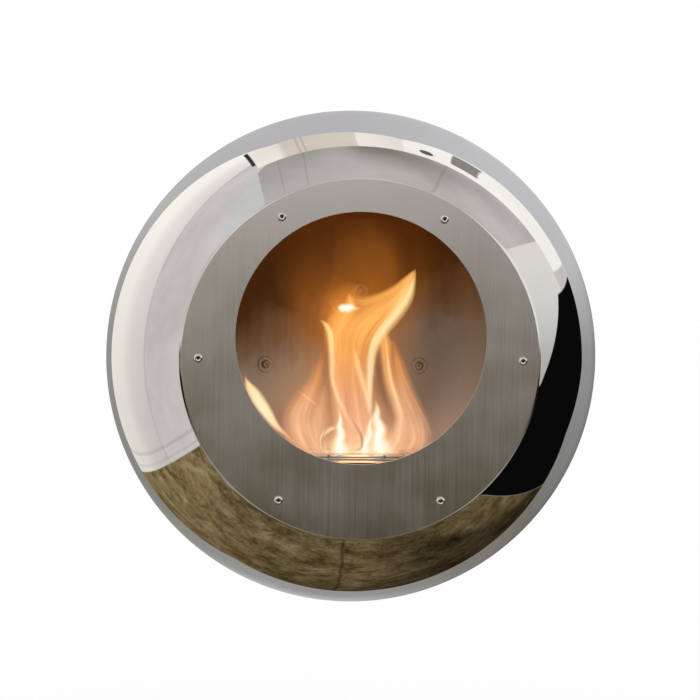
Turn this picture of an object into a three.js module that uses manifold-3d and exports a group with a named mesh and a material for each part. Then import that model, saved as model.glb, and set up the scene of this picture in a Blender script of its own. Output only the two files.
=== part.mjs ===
// A wall-hung bioethanol fireplace: a polished, lens-shaped steel body with a brushed fascia ring round
// the fire mouth, a burner with a sliding regulator on a deck inside, and a hook-on wall bracket behind.
// Millimetres. +Z is up, the room is towards -Y, and the wall is the plane y = 0. The origin is the point
// of the wall plate's back face that lies on the body's axis.
import * as THREE from "three";
import { mergeVertices } from "three/addons/utils/BufferGeometryUtils.js";
import Module from "manifold-3d";

const wasm = await Module();
wasm.setup();

// ---------------------------------------------------------------- driving sizes
const seatGap = 0.3; // left between pieces that rest on each other
const roundSteps = 60; // sides of the large turned pieces
const holeSteps = 16; // sides of small round holes and pins
const arcSteps = 8; // steps along a dome's curve

// Body
const bodyRadius = 300;
const frontDomeDepth = 150; // how far the front half would reach if it were closed
const backDomeDepth = 150; // the same for the back half
const shellWall = 2;
const backFlatRadius = 150; // where the back half ends in a flat plate
const seamBandWidth = 24;
const seamBandWall = 1.5;
const bandRoom = 1; // round the band, in the pieces notched for it

// Fascia ring and fire mouth
const fasciaRadius = 212.5;
const fasciaThickness = 3;
const mouthRadius = 149;
const mouthRise = 25; // the mouth's centre lies above the body's axis
const mouthLedge = 6; // the shell's own hole is wider than the mouth
const fasciaScrewCircle = 192.5;
const fasciaScrewCount = 6;

// M6 fasteners
const shankRadius = 2.7;
const screwHeadRadius = 5.25;
const screwHeadHeight = 3.3;
const hexSocketWidth = 4;
const hexSocketDepth = 1.9;
const nutWidth = 10;
const nutHeight = 5;
const threadBeyondNut = 2;

// Deck that closes off the bottom of the firebox
const deckTop = -122; // height from the body's axis
const deckThickness = 3;
const deckLedgeReach = 42; // width of the two ledges that carry the deck
const deckLedgeLength = 110;
const deckLedgeThickness = 3;
const deckRibHeight = 26;
const deckScrewSpacing = 60;
const deckScrewInset = 26; // from the ledge's inner edge

// Burner
const canLength = 176;
const canDepth = 124;
const canHeight = 58;
const canWall = 1.5;
const canCornerRadius = 12;
const lidOverhang = 8;
const lidThickness = 2;
const slotLength = 120;
const slotWidth = 44;
const slotSetBack = 17; // the slot's centre lies behind the burner's centre
const woolHeadroom = 8; // space above the wool that soaks up the fuel

// Regulator slide
const slideLap = 5; // how far the closed slide covers past the slot's edges
const slideThickness = 2;
const slideParkGap = 5; // between the open slide and the slot
const hookHoleRadius = 4.5;
const hookHoleSpacing = 40;
const hookHoleInset = 9; // from the slide's front edge
const railWidth = 9;
const railLip = 5; // how far a rail reaches over the slide
const railWall = 1.5;
const railEndRoom = 2;
const stopRadius = 2.5;

// Tray under the deck that holds the burner and catches a spill
const trayWall = 1.5;
const trayPlay = 1; // between the burner's can and the tray
const trayFlange = 14;

// Wall hanging
const wallPlateWidth = 200;
const wallPlateBottom = -85;
const wallPlateThickness = 3;
const anchorHoleRadius = 4.5;
const anchorSpacingX = 160;
const anchorSpacingZ = 115;
const anchorCentreZ = -10;
const hangerWidth = 230;
const hangerThickness = 3;
const hangerTop = 100;
const hangerBottom = -132;
const hangerStandOff = 24; // from the wall to the hanger's web
const hookOverlap = 16; // the body lifts this far before it comes off its bracket
const hookReach = 10; // from the wall to the bracket's upturned lip
const hookFloorRoom = 2; // under the hanger's lip
const shieldRadius = 140;
const shieldThickness = 1;
const spacerLength = 10;
const spacerRadius = 7;
const washerRadius = 10;
const washerThickness = 1.5;
const lowerBoltX = 98; // two bolts low on the back
const lowerBoltZ = -15;
const upperBoltX = 22;
const upperBoltZ = 79;
const bumperRadius = 9;
const bumperX = 92;
const bumperZ = -120;

// ---------------------------------------------------------------- places that follow from the sizes
const hangerFront = -hangerStandOff - hangerThickness;
const shieldBack = hangerFront - seatGap;
const shieldFront = shieldBack - shieldThickness;
const spacerBack = shieldFront - seatGap;
const spacerFront = spacerBack - spacerLength;
const backPlane = spacerFront - seatGap; // outer face of the shell's flat back
const backOffset = domeOffsetAt(bodyRadius, backDomeDepth, backFlatRadius);
const equator = backPlane - backOffset; // the plane of the body's largest circle
const frontOffset = domeOffsetAt(bodyRadius, frontDomeDepth, fasciaRadius);
const frontPlane = equator - frontOffset; // outer face of the shell's front flange
const fasciaBack = frontPlane - seatGap;
const fasciaFront = fasciaBack - fasciaThickness;
const shankHoleRadius = shankRadius + 2 * seatGap;
const tappedHoleRadius = shankRadius + seatGap;
const backInside = backPlane - shellWall;
const washerFront = backInside - seatGap - washerThickness;

const shallowDome = Math.min(frontDomeDepth, backDomeDepth) - shellWall;
const shellInsideAtBand = domeRadiusAt(bodyRadius - shellWall, shallowDome, seamBandWidth / 2);
const bandInside = shellInsideAtBand - 2 * seatGap - seamBandWall;

const deckBottom = deckTop - deckThickness;
const ledgeTop = deckBottom - seatGap;
const interiorHalfWidth = Math.sqrt((bodyRadius - shellWall) ** 2 - deckBottom ** 2);
const ledgeInner = interiorHalfWidth - deckLedgeReach;
const wellLength = canLength + 2 * trayPlay;
const wellDepth = canDepth + 2 * trayPlay;

const lidBottom = deckTop + seatGap;
const lidTop = lidBottom + lidThickness;
const lidLength = canLength + 2 * lidOverhang;
const lidDepth = canDepth + 2 * lidOverhang;
const canTop = lidBottom - seatGap;
const slotCentre = equator + slotSetBack;
const slideBottom = lidTop + seatGap;
const slideLength = slotLength + 2 * slideLap;
const slideDepth = slotWidth + 2 * slideLap;
const slideBack = slotCentre - slotWidth / 2 - slideParkGap;
const slideFront = slideBack - slideDepth;
const slideTravel = slideParkGap + slotWidth + slideLap;

const sides = [
  [-1, "left"],
  [1, "right"],
];

// ---------------------------------------------------------------- materials
const polishedSteel = steel(0xd9d8d6, 0.04);
const satinSteel = steel(0x8f8c87, 0.38);
const tintedSteel = steel(0x6f5a48, 0.34);
const zincSteel = steel(0xb7b9bb, 0.35);
const blackSteel = new THREE.MeshStandardMaterial({ color: 0x2a2a2b, roughness: 0.55, metalness: 0.6 });
const ceramicFibre = new THREE.MeshStandardMaterial({ color: 0xe9e4da, roughness: 0.95, metalness: 0 });
const rubber = new THREE.MeshStandardMaterial({ color: 0x1d1d1e, roughness: 0.9, metalness: 0 });

function steel(color, roughness) {
  return new THREE.MeshStandardMaterial({ color, roughness, metalness: 1 });
}

// ---------------------------------------------------------------- shape helpers

// How far from the equator a dome of that radius and depth has narrowed to r.
function domeOffsetAt(radius, depth, r) {
  return depth * Math.sqrt(1 - (r / radius) ** 2);
}

// A dome's radius at that distance from the equator.
function domeRadiusAt(radius, depth, offset) {
  return radius * Math.sqrt(1 - (offset / depth) ** 2);
}

// Points from the equator along an elliptical dome to the plane at endOffset. Side is -1 to the front and
// 1 to the back.
function domeArc(radius, depth, endOffset, side) {
  const last = Math.asin(endOffset / depth);
  const points = [];
  for (let i = 0; i <= arcSteps; i++) {
    const angle = (last * i) / arcSteps;
    points.push([radius * Math.cos(angle), equator + side * depth * Math.sin(angle)]);
  }
  return points;
}

// A solid turned about the Y axis from a closed [radius, y] profile.
function turned(profile, steps) {
  const points = profile.map(([r, y]) => new THREE.Vector2(r, y));
  if (THREE.ShapeUtils.area(points) < 0) points.reverse();
  points.push(points[0].clone());
  return toSolid(new THREE.LatheGeometry(points, steps));
}

// A round bar along Y at (x, z).
function barY(radius, yFrom, yTo, x = 0, z = 0, steps = holeSteps) {
  const profile = [
    [0, yFrom],
    [radius, yFrom],
    [radius, yTo],
    [0, yTo],
  ];
  return turned(profile, steps).translate(x, 0, z);
}

// A round bar along Z at (x, y).
function barZ(radius, zFrom, zTo, x, y, steps = holeSteps) {
  const bar = new THREE.CylinderGeometry(radius, radius, zTo - zFrom, steps);
  bar.rotateX(Math.PI / 2).translate(x, y, (zFrom + zTo) / 2);
  return toSolid(bar);
}

// A box between two corners.
function boxBetween(low, high) {
  const size = high.map((value, i) => value - low[i]);
  const box = new THREE.BoxGeometry(...size);
  box.translate(...low.map((value, i) => value + size[i] / 2));
  return toSolid(box);
}

// A span of x on the right (side 1), or its mirror image on the left (side -1), low end first.
function spanOn(side, from, to) {
  return side > 0 ? [from, to] : [-to, -from];
}

// A [y, z] outline extruded across the body, centred on x = 0.
function acrossBody(outline, width) {
  const shape = new THREE.Shape(outline.map(([y, z]) => new THREE.Vector2(y, z)));
  const geometry = new THREE.ExtrudeGeometry(shape, { depth: width, bevelEnabled: false });
  const alongX = new THREE.Vector3(1, 0, 0);
  const alongY = new THREE.Vector3(0, 1, 0);
  const alongZ = new THREE.Vector3(0, 0, 1);
  geometry.applyMatrix4(new THREE.Matrix4().makeBasis(alongY, alongZ, alongX));
  geometry.translate(-width / 2, 0, 0);
  return toSolid(geometry);
}

// An upright block with rounded corners, centred on (0, equator).
function roundedBlock(length, depth, cornerRadius, zFrom, zTo) {
  const [hx, hy, r] = [length / 2, depth / 2, cornerRadius];
  const shape = new THREE.Shape();
  shape.moveTo(-hx + r, -hy);
  shape.lineTo(hx - r, -hy);
  shape.absarc(hx - r, -hy + r, r, -Math.PI / 2, 0);
  shape.lineTo(hx, hy - r);
  shape.absarc(hx - r, hy - r, r, 0, Math.PI / 2);
  shape.lineTo(-hx + r, hy);
  shape.absarc(-hx + r, hy - r, r, Math.PI / 2, Math.PI);
  shape.lineTo(-hx, -hy + r);
  shape.absarc(-hx + r, -hy + r, r, Math.PI, 1.5 * Math.PI);
  const settings = { depth: zTo - zFrom, bevelEnabled: false, curveSegments: 4 };
  return toSolid(new THREE.ExtrudeGeometry(shape, settings).translate(0, equator, zFrom));
}

// A hexagonal bar along Y, with flats that far apart.
function hexBarY(widthAcrossFlats, yFrom, yTo) {
  return barY(widthAcrossFlats / Math.sqrt(3), yFrom, yTo, 0, 0, 6);
}

function toSolid(geometry) {
  const bare = geometry.index ? geometry.toNonIndexed() : geometry.clone();
  bare.deleteAttribute("normal");
  bare.deleteAttribute("uv");
  const merged = mergeVertices(bare, 1e-4);
  const corners = merged.index.array;
  const kept = [];
  for (let i = 0; i < corners.length; i += 3) {
    const [a, b, c] = [corners[i], corners[i + 1], corners[i + 2]];
    if (a !== b && b !== c && c !== a) kept.push(a, b, c);
  }
  const vertProperties = merged.attributes.position.array;
  return new wasm.Manifold(new wasm.Mesh({ numProp: 3, vertProperties, triVerts: new Uint32Array(kept) }));
}

function toGeometry(solid) {
  const { vertProperties, triVerts } = solid.getMesh();
  const geometry = new THREE.BufferGeometry();
  geometry.setAttribute("position", new THREE.BufferAttribute(vertProperties, 3));
  geometry.setIndex(new THREE.BufferAttribute(triVerts, 1));
  geometry.computeVertexNormals();
  return geometry;
}

// Adds a named piece to the fireplace.
const fireplace = new THREE.Group();
function add(name, solid, material) {
  const mesh = new THREE.Mesh(toGeometry(solid), material);
  mesh.name = name;
  fireplace.add(mesh);
  return mesh;
}

// Cuts each of those tools from a solid.
function cut(solid, tools) {
  return tools.reduce((rest, tool) => rest.subtract(tool), solid);
}

// ---------------------------------------------------------------- places of the fasteners
const fasciaScrewPlaces = [];
for (let i = 0; i < fasciaScrewCount; i++) {
  const angle = (2 * Math.PI * i) / fasciaScrewCount;
  fasciaScrewPlaces.push([fasciaScrewCircle * Math.cos(angle), fasciaScrewCircle * Math.sin(angle)]);
}
const backBoltPlaces = [
  [-lowerBoltX, lowerBoltZ],
  [lowerBoltX, lowerBoltZ],
  [upperBoltX, upperBoltZ],
];
const boltHoles = (places, radius, yFrom, yTo) => places.map(([x, z]) => barY(radius, yFrom, yTo, x, z));

// ---------------------------------------------------------------- body shells

// The space inside the shells, drawn in by inset all round.
function bodyInterior(inset) {
  const shrink = shellWall + inset;
  const front = domeArc(bodyRadius - shrink, frontDomeDepth - shrink, frontOffset - shrink, -1);
  const back = domeArc(bodyRadius - shrink, backDomeDepth - shrink, backOffset - shrink, 1);
  const profile = [[0, equator - frontOffset + shrink], ...front.reverse(), ...back.slice(1)];
  profile.push([0, equator + backOffset - shrink]);
  return turned(profile, roundSteps);
}

// One half of the body, open at its end unless it is closed by a flat.
function halfShell(domeDepth, endOffset, side, closed) {
  const outer = domeArc(bodyRadius, domeDepth, endOffset, side);
  const inner = domeArc(bodyRadius - shellWall, domeDepth - shellWall, endOffset - shellWall, side);
  const flat = [
    [0, equator + side * endOffset],
    [0, equator + side * (endOffset - shellWall)],
  ];
  return turned([...outer, ...(closed ? flat : []), ...inner.reverse()], roundSteps);
}

function frontShell() {
  const shell = halfShell(frontDomeDepth, frontOffset, -1, true);
  const reach = [frontPlane - shellWall - 1, frontPlane + shellWall + 1];
  const hole = barY(mouthRadius + mouthLedge, ...reach, 0, mouthRise, roundSteps);
  return cut(shell, [hole, ...boltHoles(fasciaScrewPlaces, shankHoleRadius, ...reach)]);
}

// Welded into the open end of the back half.
function backPlate() {
  const inside = domeRadiusAt(bodyRadius - shellWall, backDomeDepth - shellWall, backOffset - shellWall);
  const disc = barY(inside - seatGap, backInside, backPlane, 0, 0, roundSteps);
  return cut(disc, boltHoles(backBoltPlaces, shankHoleRadius, backInside - 1, backPlane + 1));
}

// A square-sided ring about the Y axis, as wide as that to each side of the equator.
function ringAtEquator(inside, outside, halfWidth) {
  const profile = [
    [inside, equator - halfWidth],
    [outside, equator - halfWidth],
    [outside, equator + halfWidth],
    [inside, equator + halfWidth],
  ];
  return turned(profile, roundSteps);
}

// Backs the welded seam from inside.
const seamBand = () => ringAtEquator(bandInside, bandInside + seamBandWall, seamBandWidth / 2);

// Cuts the notch that clears the seam band.
const bandNotch = () => ringAtEquator(bandInside - bandRoom, bodyRadius, seamBandWidth / 2 + bandRoom);

// ---------------------------------------------------------------- fascia and its fasteners
function fasciaPlate() {
  const disc = barY(fasciaRadius, fasciaFront, fasciaBack, 0, 0, roundSteps);
  const reach = [fasciaFront - 1, fasciaBack + 1];
  const mouth = barY(mouthRadius, ...reach, 0, mouthRise, roundSteps);
  return cut(disc, [mouth, ...boltHoles(fasciaScrewPlaces, shankHoleRadius, ...reach)]);
}

// A button-head socket screw along Y, with its head's underside at y = 0 and the head towards -Y.
function buttonScrew(length) {
  const crown = screwHeadRadius * 0.55; // flat top round the socket
  const profile = [
    [0, length],
    [shankRadius, length],
    [shankRadius, 0],
    [screwHeadRadius, 0],
    [screwHeadRadius, -screwHeadHeight * 0.2],
    [screwHeadRadius * 0.86, -screwHeadHeight * 0.7],
    [crown, -screwHeadHeight],
    [0, -screwHeadHeight],
  ];
  const socket = hexBarY(hexSocketWidth, -screwHeadHeight - 1, -screwHeadHeight + hexSocketDepth);
  return turned(profile, holeSteps).subtract(socket);
}

// A hexagonal nut along Y from y = 0 to its height.
function hexNut() {
  return hexBarY(nutWidth, 0, nutHeight).subtract(barY(shankRadius + seatGap, -1, nutHeight + 1));
}

function addFascia() {
  add("fascia_plate", fasciaPlate(), satinSteel);
  const nutFront = frontPlane + shellWall + seatGap;
  const screwLength = nutFront + nutHeight + threadBeyondNut - fasciaFront + seatGap;
  fasciaScrewPlaces.forEach(([x, z], i) => {
    const screw = buttonScrew(screwLength).translate(x, fasciaFront - seatGap, z);
    add(`fascia_screw_${i + 1}`, screw, polishedSteel);
    add(`fascia_weld_nut_${i + 1}`, hexNut().translate(x, nutFront, z), zincSteel);
  });
}

// ---------------------------------------------------------------- deck inside the body

// The two side ledges are welded to the shell and carry the deck.
function deckLedge(side) {
  const [near, far] = [equator - deckLedgeLength / 2, equator + deckLedgeLength / 2];
  const ribX = ledgeInner + deckLedgeThickness;
  const [ledgeLow, ledgeHigh] = spanOn(side, ledgeInner, bodyRadius);
  const [ribLow, ribHigh] = spanOn(side, ledgeInner, ribX);
  const ledge = boxBetween([ledgeLow, near, ledgeTop - deckLedgeThickness], [ledgeHigh, far, ledgeTop]);
  const rib = boxBetween([ribLow, near, ledgeTop - deckRibHeight], [ribHigh, far, ledgeTop]);
  const fitted = ledge.add(rib).intersect(bodyInterior(seatGap));
  return cut(fitted, [bandNotch(), ...deckScrewHoles(side, tappedHoleRadius)]);
}

const deckScrewPlaces = (side) =>
  [-1, 1].map((end) => [side * (ledgeInner + deckScrewInset), equator + (end * deckScrewSpacing) / 2]);
const deckScrewHoles = (side, radius) =>
  deckScrewPlaces(side).map(([x, y]) => barZ(radius, ledgeTop - deckRibHeight, deckTop + 1, x, y));

function deck() {
  const slab = boxBetween([-bodyRadius, frontPlane, deckBottom], [bodyRadius, backPlane, deckTop]);
  const well = roundedBlock(wellLength, wellDepth, canCornerRadius + trayPlay, deckBottom - 1, deckTop + 1);
  const screwHoles = [...deckScrewHoles(-1, shankHoleRadius), ...deckScrewHoles(1, shankHoleRadius)];
  return cut(slab.intersect(bodyInterior(seatGap)), [bandNotch(), well, ...screwHoles]);
}

function tray() {
  const top = deckBottom - seatGap;
  const bottom = canTop - canHeight - trayWall - seatGap;
  const [outerLength, outerDepth] = [wellLength + 2 * trayWall, wellDepth + 2 * trayWall];
  const outerCorner = canCornerRadius + trayPlay + trayWall;
  const [flangeLength, flangeDepth] = [outerLength + 2 * trayFlange, outerDepth + 2 * trayFlange];
  const pan = roundedBlock(outerLength, outerDepth, outerCorner, bottom, top);
  const flange = roundedBlock(flangeLength, flangeDepth, outerCorner + trayFlange, top - trayWall, top);
  const innerCorner = canCornerRadius + trayPlay;
  const hollow = roundedBlock(wellLength, wellDepth, innerCorner, bottom + trayWall, top + 1);
  return pan.add(flange).subtract(hollow);
}

function addDeck() {
  add("deck", deck(), tintedSteel);
  for (const [side, label] of sides) {
    add(`deck_ledge_${label}`, deckLedge(side), satinSteel);
    const length = deckThickness + deckLedgeThickness + threadBeyondNut + 2 * seatGap;
    deckScrewPlaces(side).forEach(([x, y], i) => {
      const geometry = toGeometry(buttonScrew(length)).rotateX(-Math.PI / 2);
      geometry.translate(x, y, deckTop + seatGap);
      add(`deck_screw_${label}_${i + 1}`, toSolid(geometry), tintedSteel);
    });
  }
  add("burner_tray", tray(), zincSteel);
}

// ---------------------------------------------------------------- burner and its regulator
function burnerCan() {
  const bottom = canTop - canHeight;
  const block = roundedBlock(canLength, canDepth, canCornerRadius, bottom, canTop);
  const [length, depth] = [canLength - 2 * canWall, canDepth - 2 * canWall];
  const hollow = roundedBlock(length, depth, canCornerRadius - canWall, bottom + canWall, canTop + 1);
  return block.subtract(hollow);
}

function burnerWool() {
  const side = canWall + seatGap;
  const inner = canCornerRadius - side;
  const [bottom, top] = [canTop - canHeight + side, canTop - woolHeadroom];
  return roundedBlock(canLength - 2 * side, canDepth - 2 * side, inner, bottom, top);
}

function slotCutter(zFrom, zTo) {
  const [hx, hy] = [slotLength / 2, slotWidth / 2];
  return boxBetween([-hx, slotCentre - hy, zFrom], [hx, slotCentre + hy, zTo]);
}

function burnerLid() {
  const plate = roundedBlock(lidLength, lidDepth, canCornerRadius + lidOverhang, lidBottom, lidTop);
  return plate.subtract(slotCutter(lidBottom - 1, lidTop + 1));
}

// A Z-shaped rail that holds one edge of the slide down on the lid.
function slideRail(side) {
  const [yFrom, yTo] = [slideFront - railEndRoom, slideBack + slideTravel + railEndRoom];
  const edge = slideLength / 2 + seatGap;
  const foot = lidTop + seatGap;
  const roof = slideBottom + slideThickness + seatGap;
  const part = (from, to, zFrom, zTo) => {
    const [low, high] = spanOn(side, from, to);
    return boxBetween([low, yFrom, zFrom], [high, yTo, zTo]);
  };
  const web = part(edge, edge + railWall, foot, roof + railWall);
  const lip = part(edge - railLip, edge + railWall, roof, roof + railWall);
  const flange = part(edge, edge + railWidth, foot, foot + railWall);
  return web.add(lip).add(flange);
}

// A dome-headed pin on the lid that the open slide stops against.
function slideStop(side) {
  const x = (side * slideLength) / 4;
  const y = slideFront - stopRadius - seatGap;
  const foot = lidTop + seatGap;
  return barZ(stopRadius, foot, foot + slideThickness + railWall, x, y);
}

function regulatorSlide() {
  const [half, bottom, top] = [slideLength / 2, slideBottom, slideBottom + slideThickness];
  const plate = boxBetween([-half, slideFront, bottom], [half, slideBack, top]);
  const holes = [-1, 1].map((side) =>
    barZ(hookHoleRadius, bottom - 1, top + 1, (side * hookHoleSpacing) / 2, slideFront + hookHoleInset),
  );
  return cut(plate, holes);
}

function addBurner() {
  add("burner_can", burnerCan(), zincSteel);
  add("burner_wool", burnerWool(), ceramicFibre);
  add("burner_lid", burnerLid(), satinSteel);
  for (const [side, label] of sides) {
    add(`slide_rail_${label}`, slideRail(side), satinSteel);
    add(`slide_stop_${label}`, slideStop(side), satinSteel);
  }
  add("regulator_slide", regulatorSlide(), satinSteel);
}

// ---------------------------------------------------------------- hanging on the wall

// Fixed to the wall: a plate whose top edge is folded out and up into a hook.
function wallPlate() {
  const hookTop = hangerTop - hangerThickness - seatGap;
  const hookFloor = hookTop - hookOverlap - hookFloorRoom;
  const [t, reach] = [wallPlateThickness, hookReach];
  const outline = [
    [0, wallPlateBottom],
    [0, hookFloor],
    [-reach, hookFloor],
    [-reach, hookTop],
    [-reach - t, hookTop],
    [-reach - t, hookFloor - t],
    [-t, hookFloor - t],
    [-t, wallPlateBottom],
  ];
  const holes = [];
  for (const sx of [-1, 1])
    for (const sz of [-1, 1]) {
      const [x, z] = [(sx * anchorSpacingX) / 2, anchorCentreZ + (sz * anchorSpacingZ) / 2];
      holes.push(barY(anchorHoleRadius, -t - 1, 1, x, z));
    }
  return cut(acrossBody(outline, wallPlateWidth), holes);
}

// Fixed to the body: a plate whose top edge folds back and down behind the wall plate's hook.
function hangerPlate() {
  const t = hangerThickness;
  const lipFront = -hookReach + seatGap;
  const lipBottom = hangerTop - t - hookOverlap;
  const outline = [
    [hangerFront, hangerBottom],
    [-hangerStandOff, hangerBottom],
    [-hangerStandOff, hangerTop - t],
    [lipFront, hangerTop - t],
    [lipFront, lipBottom],
    [lipFront + t, lipBottom],
    [lipFront + t, hangerTop],
    [hangerFront, hangerTop],
  ];
  const reach = [hangerFront - 1, -hangerStandOff + 1];
  return cut(acrossBody(outline, hangerWidth), boltHoles(backBoltPlaces, shankHoleRadius, ...reach));
}

function heatShield() {
  const disc = barY(shieldRadius, shieldFront, shieldBack, 0, 0, roundSteps);
  return cut(disc, boltHoles(backBoltPlaces, shankHoleRadius, shieldFront - 1, shieldBack + 1));
}

function tubeY(outside, yFrom, yTo) {
  return barY(outside, yFrom, yTo).subtract(barY(shankHoleRadius, yFrom - 1, yTo + 1));
}

function addHanging() {
  add("wall_plate", wallPlate(), blackSteel);
  add("hanger_plate", hangerPlate(), blackSteel);
  add("heat_shield", heatShield(), zincSteel);
  const nutFront = -hangerStandOff + seatGap;
  const headSeat = washerFront - seatGap;
  const boltLength = nutFront + nutHeight + threadBeyondNut - headSeat;
  backBoltPlaces.forEach(([x, z], i) => {
    const n = i + 1;
    const washer = tubeY(washerRadius, washerFront, washerFront + washerThickness);
    const spacer = tubeY(spacerRadius, spacerFront, spacerBack);
    add(`back_bolt_${n}`, buttonScrew(boltLength).translate(x, headSeat, z), tintedSteel);
    add(`back_washer_${n}`, washer.translate(x, 0, z), tintedSteel);
    add(`back_spacer_${n}`, spacer.translate(x, 0, z), zincSteel);
    add(`back_nut_${n}`, hexNut().translate(x, nutFront, z), zincSteel);
  });
  for (const [side, label] of sides) {
    const bumper = barY(bumperRadius, -hangerStandOff + seatGap, 0, side * bumperX, bumperZ);
    add(`wall_bumper_${label}`, bumper, rubber);
  }
}

// ---------------------------------------------------------------- the whole fireplace
add("front_shell", frontShell(), polishedSteel);
add("rear_shell", halfShell(backDomeDepth, backOffset, 1, false), polishedSteel);
add("back_plate", backPlate(), tintedSteel);
add("seam_band", seamBand(), satinSteel);
addFascia();
addDeck();
addBurner();
addHanging();

export default fireplace;
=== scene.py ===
"""The looks of a wall-hung bioethanol fireplace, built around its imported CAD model."""

import math

import bmesh
import bpy
from mathutils import Matrix, Vector, noise


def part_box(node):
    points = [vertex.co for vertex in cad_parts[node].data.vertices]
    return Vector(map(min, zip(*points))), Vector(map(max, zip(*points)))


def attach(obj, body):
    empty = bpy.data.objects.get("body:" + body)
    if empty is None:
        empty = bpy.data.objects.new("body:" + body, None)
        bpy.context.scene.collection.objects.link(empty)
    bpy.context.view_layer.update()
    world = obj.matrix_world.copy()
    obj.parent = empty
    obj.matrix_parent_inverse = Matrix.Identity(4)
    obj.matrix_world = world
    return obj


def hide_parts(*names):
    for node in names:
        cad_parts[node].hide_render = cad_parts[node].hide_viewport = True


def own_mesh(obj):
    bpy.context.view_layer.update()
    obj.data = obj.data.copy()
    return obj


bl_info = {
    "name": "Hanging fireplace",
    "version": (1, 0, 0),
    "blender": (4, 5, 0),
    "location": "View3D > Sidebar > Fireplace",
    "description": "Dresses the packed model of a wall-hung fireplace",
    "category": "Object",
}

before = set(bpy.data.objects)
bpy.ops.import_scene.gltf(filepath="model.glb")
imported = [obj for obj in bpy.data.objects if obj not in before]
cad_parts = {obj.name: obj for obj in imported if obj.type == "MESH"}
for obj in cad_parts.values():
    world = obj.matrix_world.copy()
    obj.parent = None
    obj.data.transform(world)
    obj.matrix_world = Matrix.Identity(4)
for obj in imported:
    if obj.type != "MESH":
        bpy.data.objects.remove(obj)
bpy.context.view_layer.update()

MM = 0.001
SHARP_ANGLE = math.radians(50)  # the least angle of an edge that softened_copy rounds
ROUND_STEPS = 240  # round the body
SMALL_ROUND_STEPS = 48  # round a fastener
BODY = "fire_body"
BRACKET = "wall_bracket"
BURNER = "burner"
REGULATOR = "regulator"
SIDES = ("left", "right")


def middle(node):
    low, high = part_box(node)
    return (low + high) / 2


# ---------------------------------------------------------------- shader expressions


class Value:
    """A socket in a node tree that takes part in Python expressions.

    math works on the values it is given: this one takes part only if it is among them.
    """

    def __init__(self, tree, socket):
        self.tree = tree
        self.socket = socket

    def node(self, kind, inputs=None, output=0, **settings):
        """Adds a node of that type, sets it up, and gives its output as a value."""
        made = self.tree.nodes.new(kind)
        for key, value in settings.items():
            if key == "stops":
                set_ramp(made.color_ramp, value)
            else:
                setattr(made, key, value)
        for key, value in (inputs or {}).items():
            if isinstance(value, Value):
                self.tree.links.new(value.socket, made.inputs[key])
            else:
                made.inputs[key].default_value = value
        return Value(self.tree, made.outputs[output])

    def math(self, operation, *values, clamp=False):
        inputs = dict(enumerate(values))
        return self.node("ShaderNodeMath", inputs, operation=operation, use_clamp=clamp)

    def __add__(self, other):
        return self.math("ADD", self, other)

    def __sub__(self, other):
        return self.math("SUBTRACT", self, other)

    def __rsub__(self, other):
        return self.math("SUBTRACT", other, self)

    def __mul__(self, other):
        return self.math("MULTIPLY", self, other)

    def __truediv__(self, other):
        return self.math("DIVIDE", self, other)

    def __pow__(self, other):
        return self.math("POWER", self, other)

    def __neg__(self):
        return self.math("MULTIPLY", self, -1.0)

    def __abs__(self):
        return self.math("ABSOLUTE", self)

    def clamped(self):
        return self.math("ADD", self, 0.0, clamp=True)

    def rises(self, low, high):
        """0 below low, 1 above high, and a smooth step between them."""
        span = {"Value": self, "From Min": low, "From Max": high}
        return self.node("ShaderNodeMapRange", span, interpolation_type="SMOOTHSTEP")

    def within(self, low, high, soft):
        """1 between low and high, with soft ends."""
        return self.rises(low - soft, low + soft) * (1 - self.rises(high - soft, high + soft))

    def ramp(self, *stops):
        """A colour for each (place, colour) stop along 0 to 1."""
        return self.node("ShaderNodeValToRGB", {"Fac": self}, stops=stops)

    def mix(self, first, second):
        """first where this value is 0 and second where it is 1, as colours."""
        inputs = {"Factor": self, 6: first, 7: second}
        return self.node("ShaderNodeMix", inputs, output=2, data_type="RGBA")

    def noise(self, scale, detail=3.0, roughness=0.5, distortion=0.0):
        inputs = {"Vector": self, "Scale": scale, "Detail": detail}
        inputs |= {"Roughness": roughness, "Distortion": distortion}
        return self.node("ShaderNodeTexNoise", inputs)

    def scaled(self, x, y, z):
        return self.node("ShaderNodeMapping", {"Vector": self, "Scale": (x, y, z)})

    def dot(self, normal):
        return self.node("ShaderNodeVectorMath", {0: self, 1: normal}, output=1, operation="DOT_PRODUCT")

    def shaded(self, factor):
        """This colour times a factor."""
        return self.node("ShaderNodeVectorMath", {0: self, "Scale": factor}, operation="SCALE")

    def bumped(self, strength, distance):
        inputs = {"Height": self, "Strength": strength, "Distance": distance}
        return self.node("ShaderNodeBump", inputs)

    def parts(self):
        split = self.tree.nodes.new("ShaderNodeSeparateXYZ")
        self.tree.links.new(self.socket, split.inputs[0])
        return [Value(self.tree, out) for out in split.outputs]


def set_ramp(color_ramp, stops):
    """Gives a ramp its (place, colour) stops. It starts with one element at each of its ends."""
    first, last = color_ramp.elements
    first.position, last.position = stops[0][0], stops[-1][0]
    first.color, last.color = (*stops[0][1], 1.0), (*stops[-1][1], 1.0)
    for place, color in stops[1:-1]:
        color_ramp.elements.new(place).color = (*color, 1.0)


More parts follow.
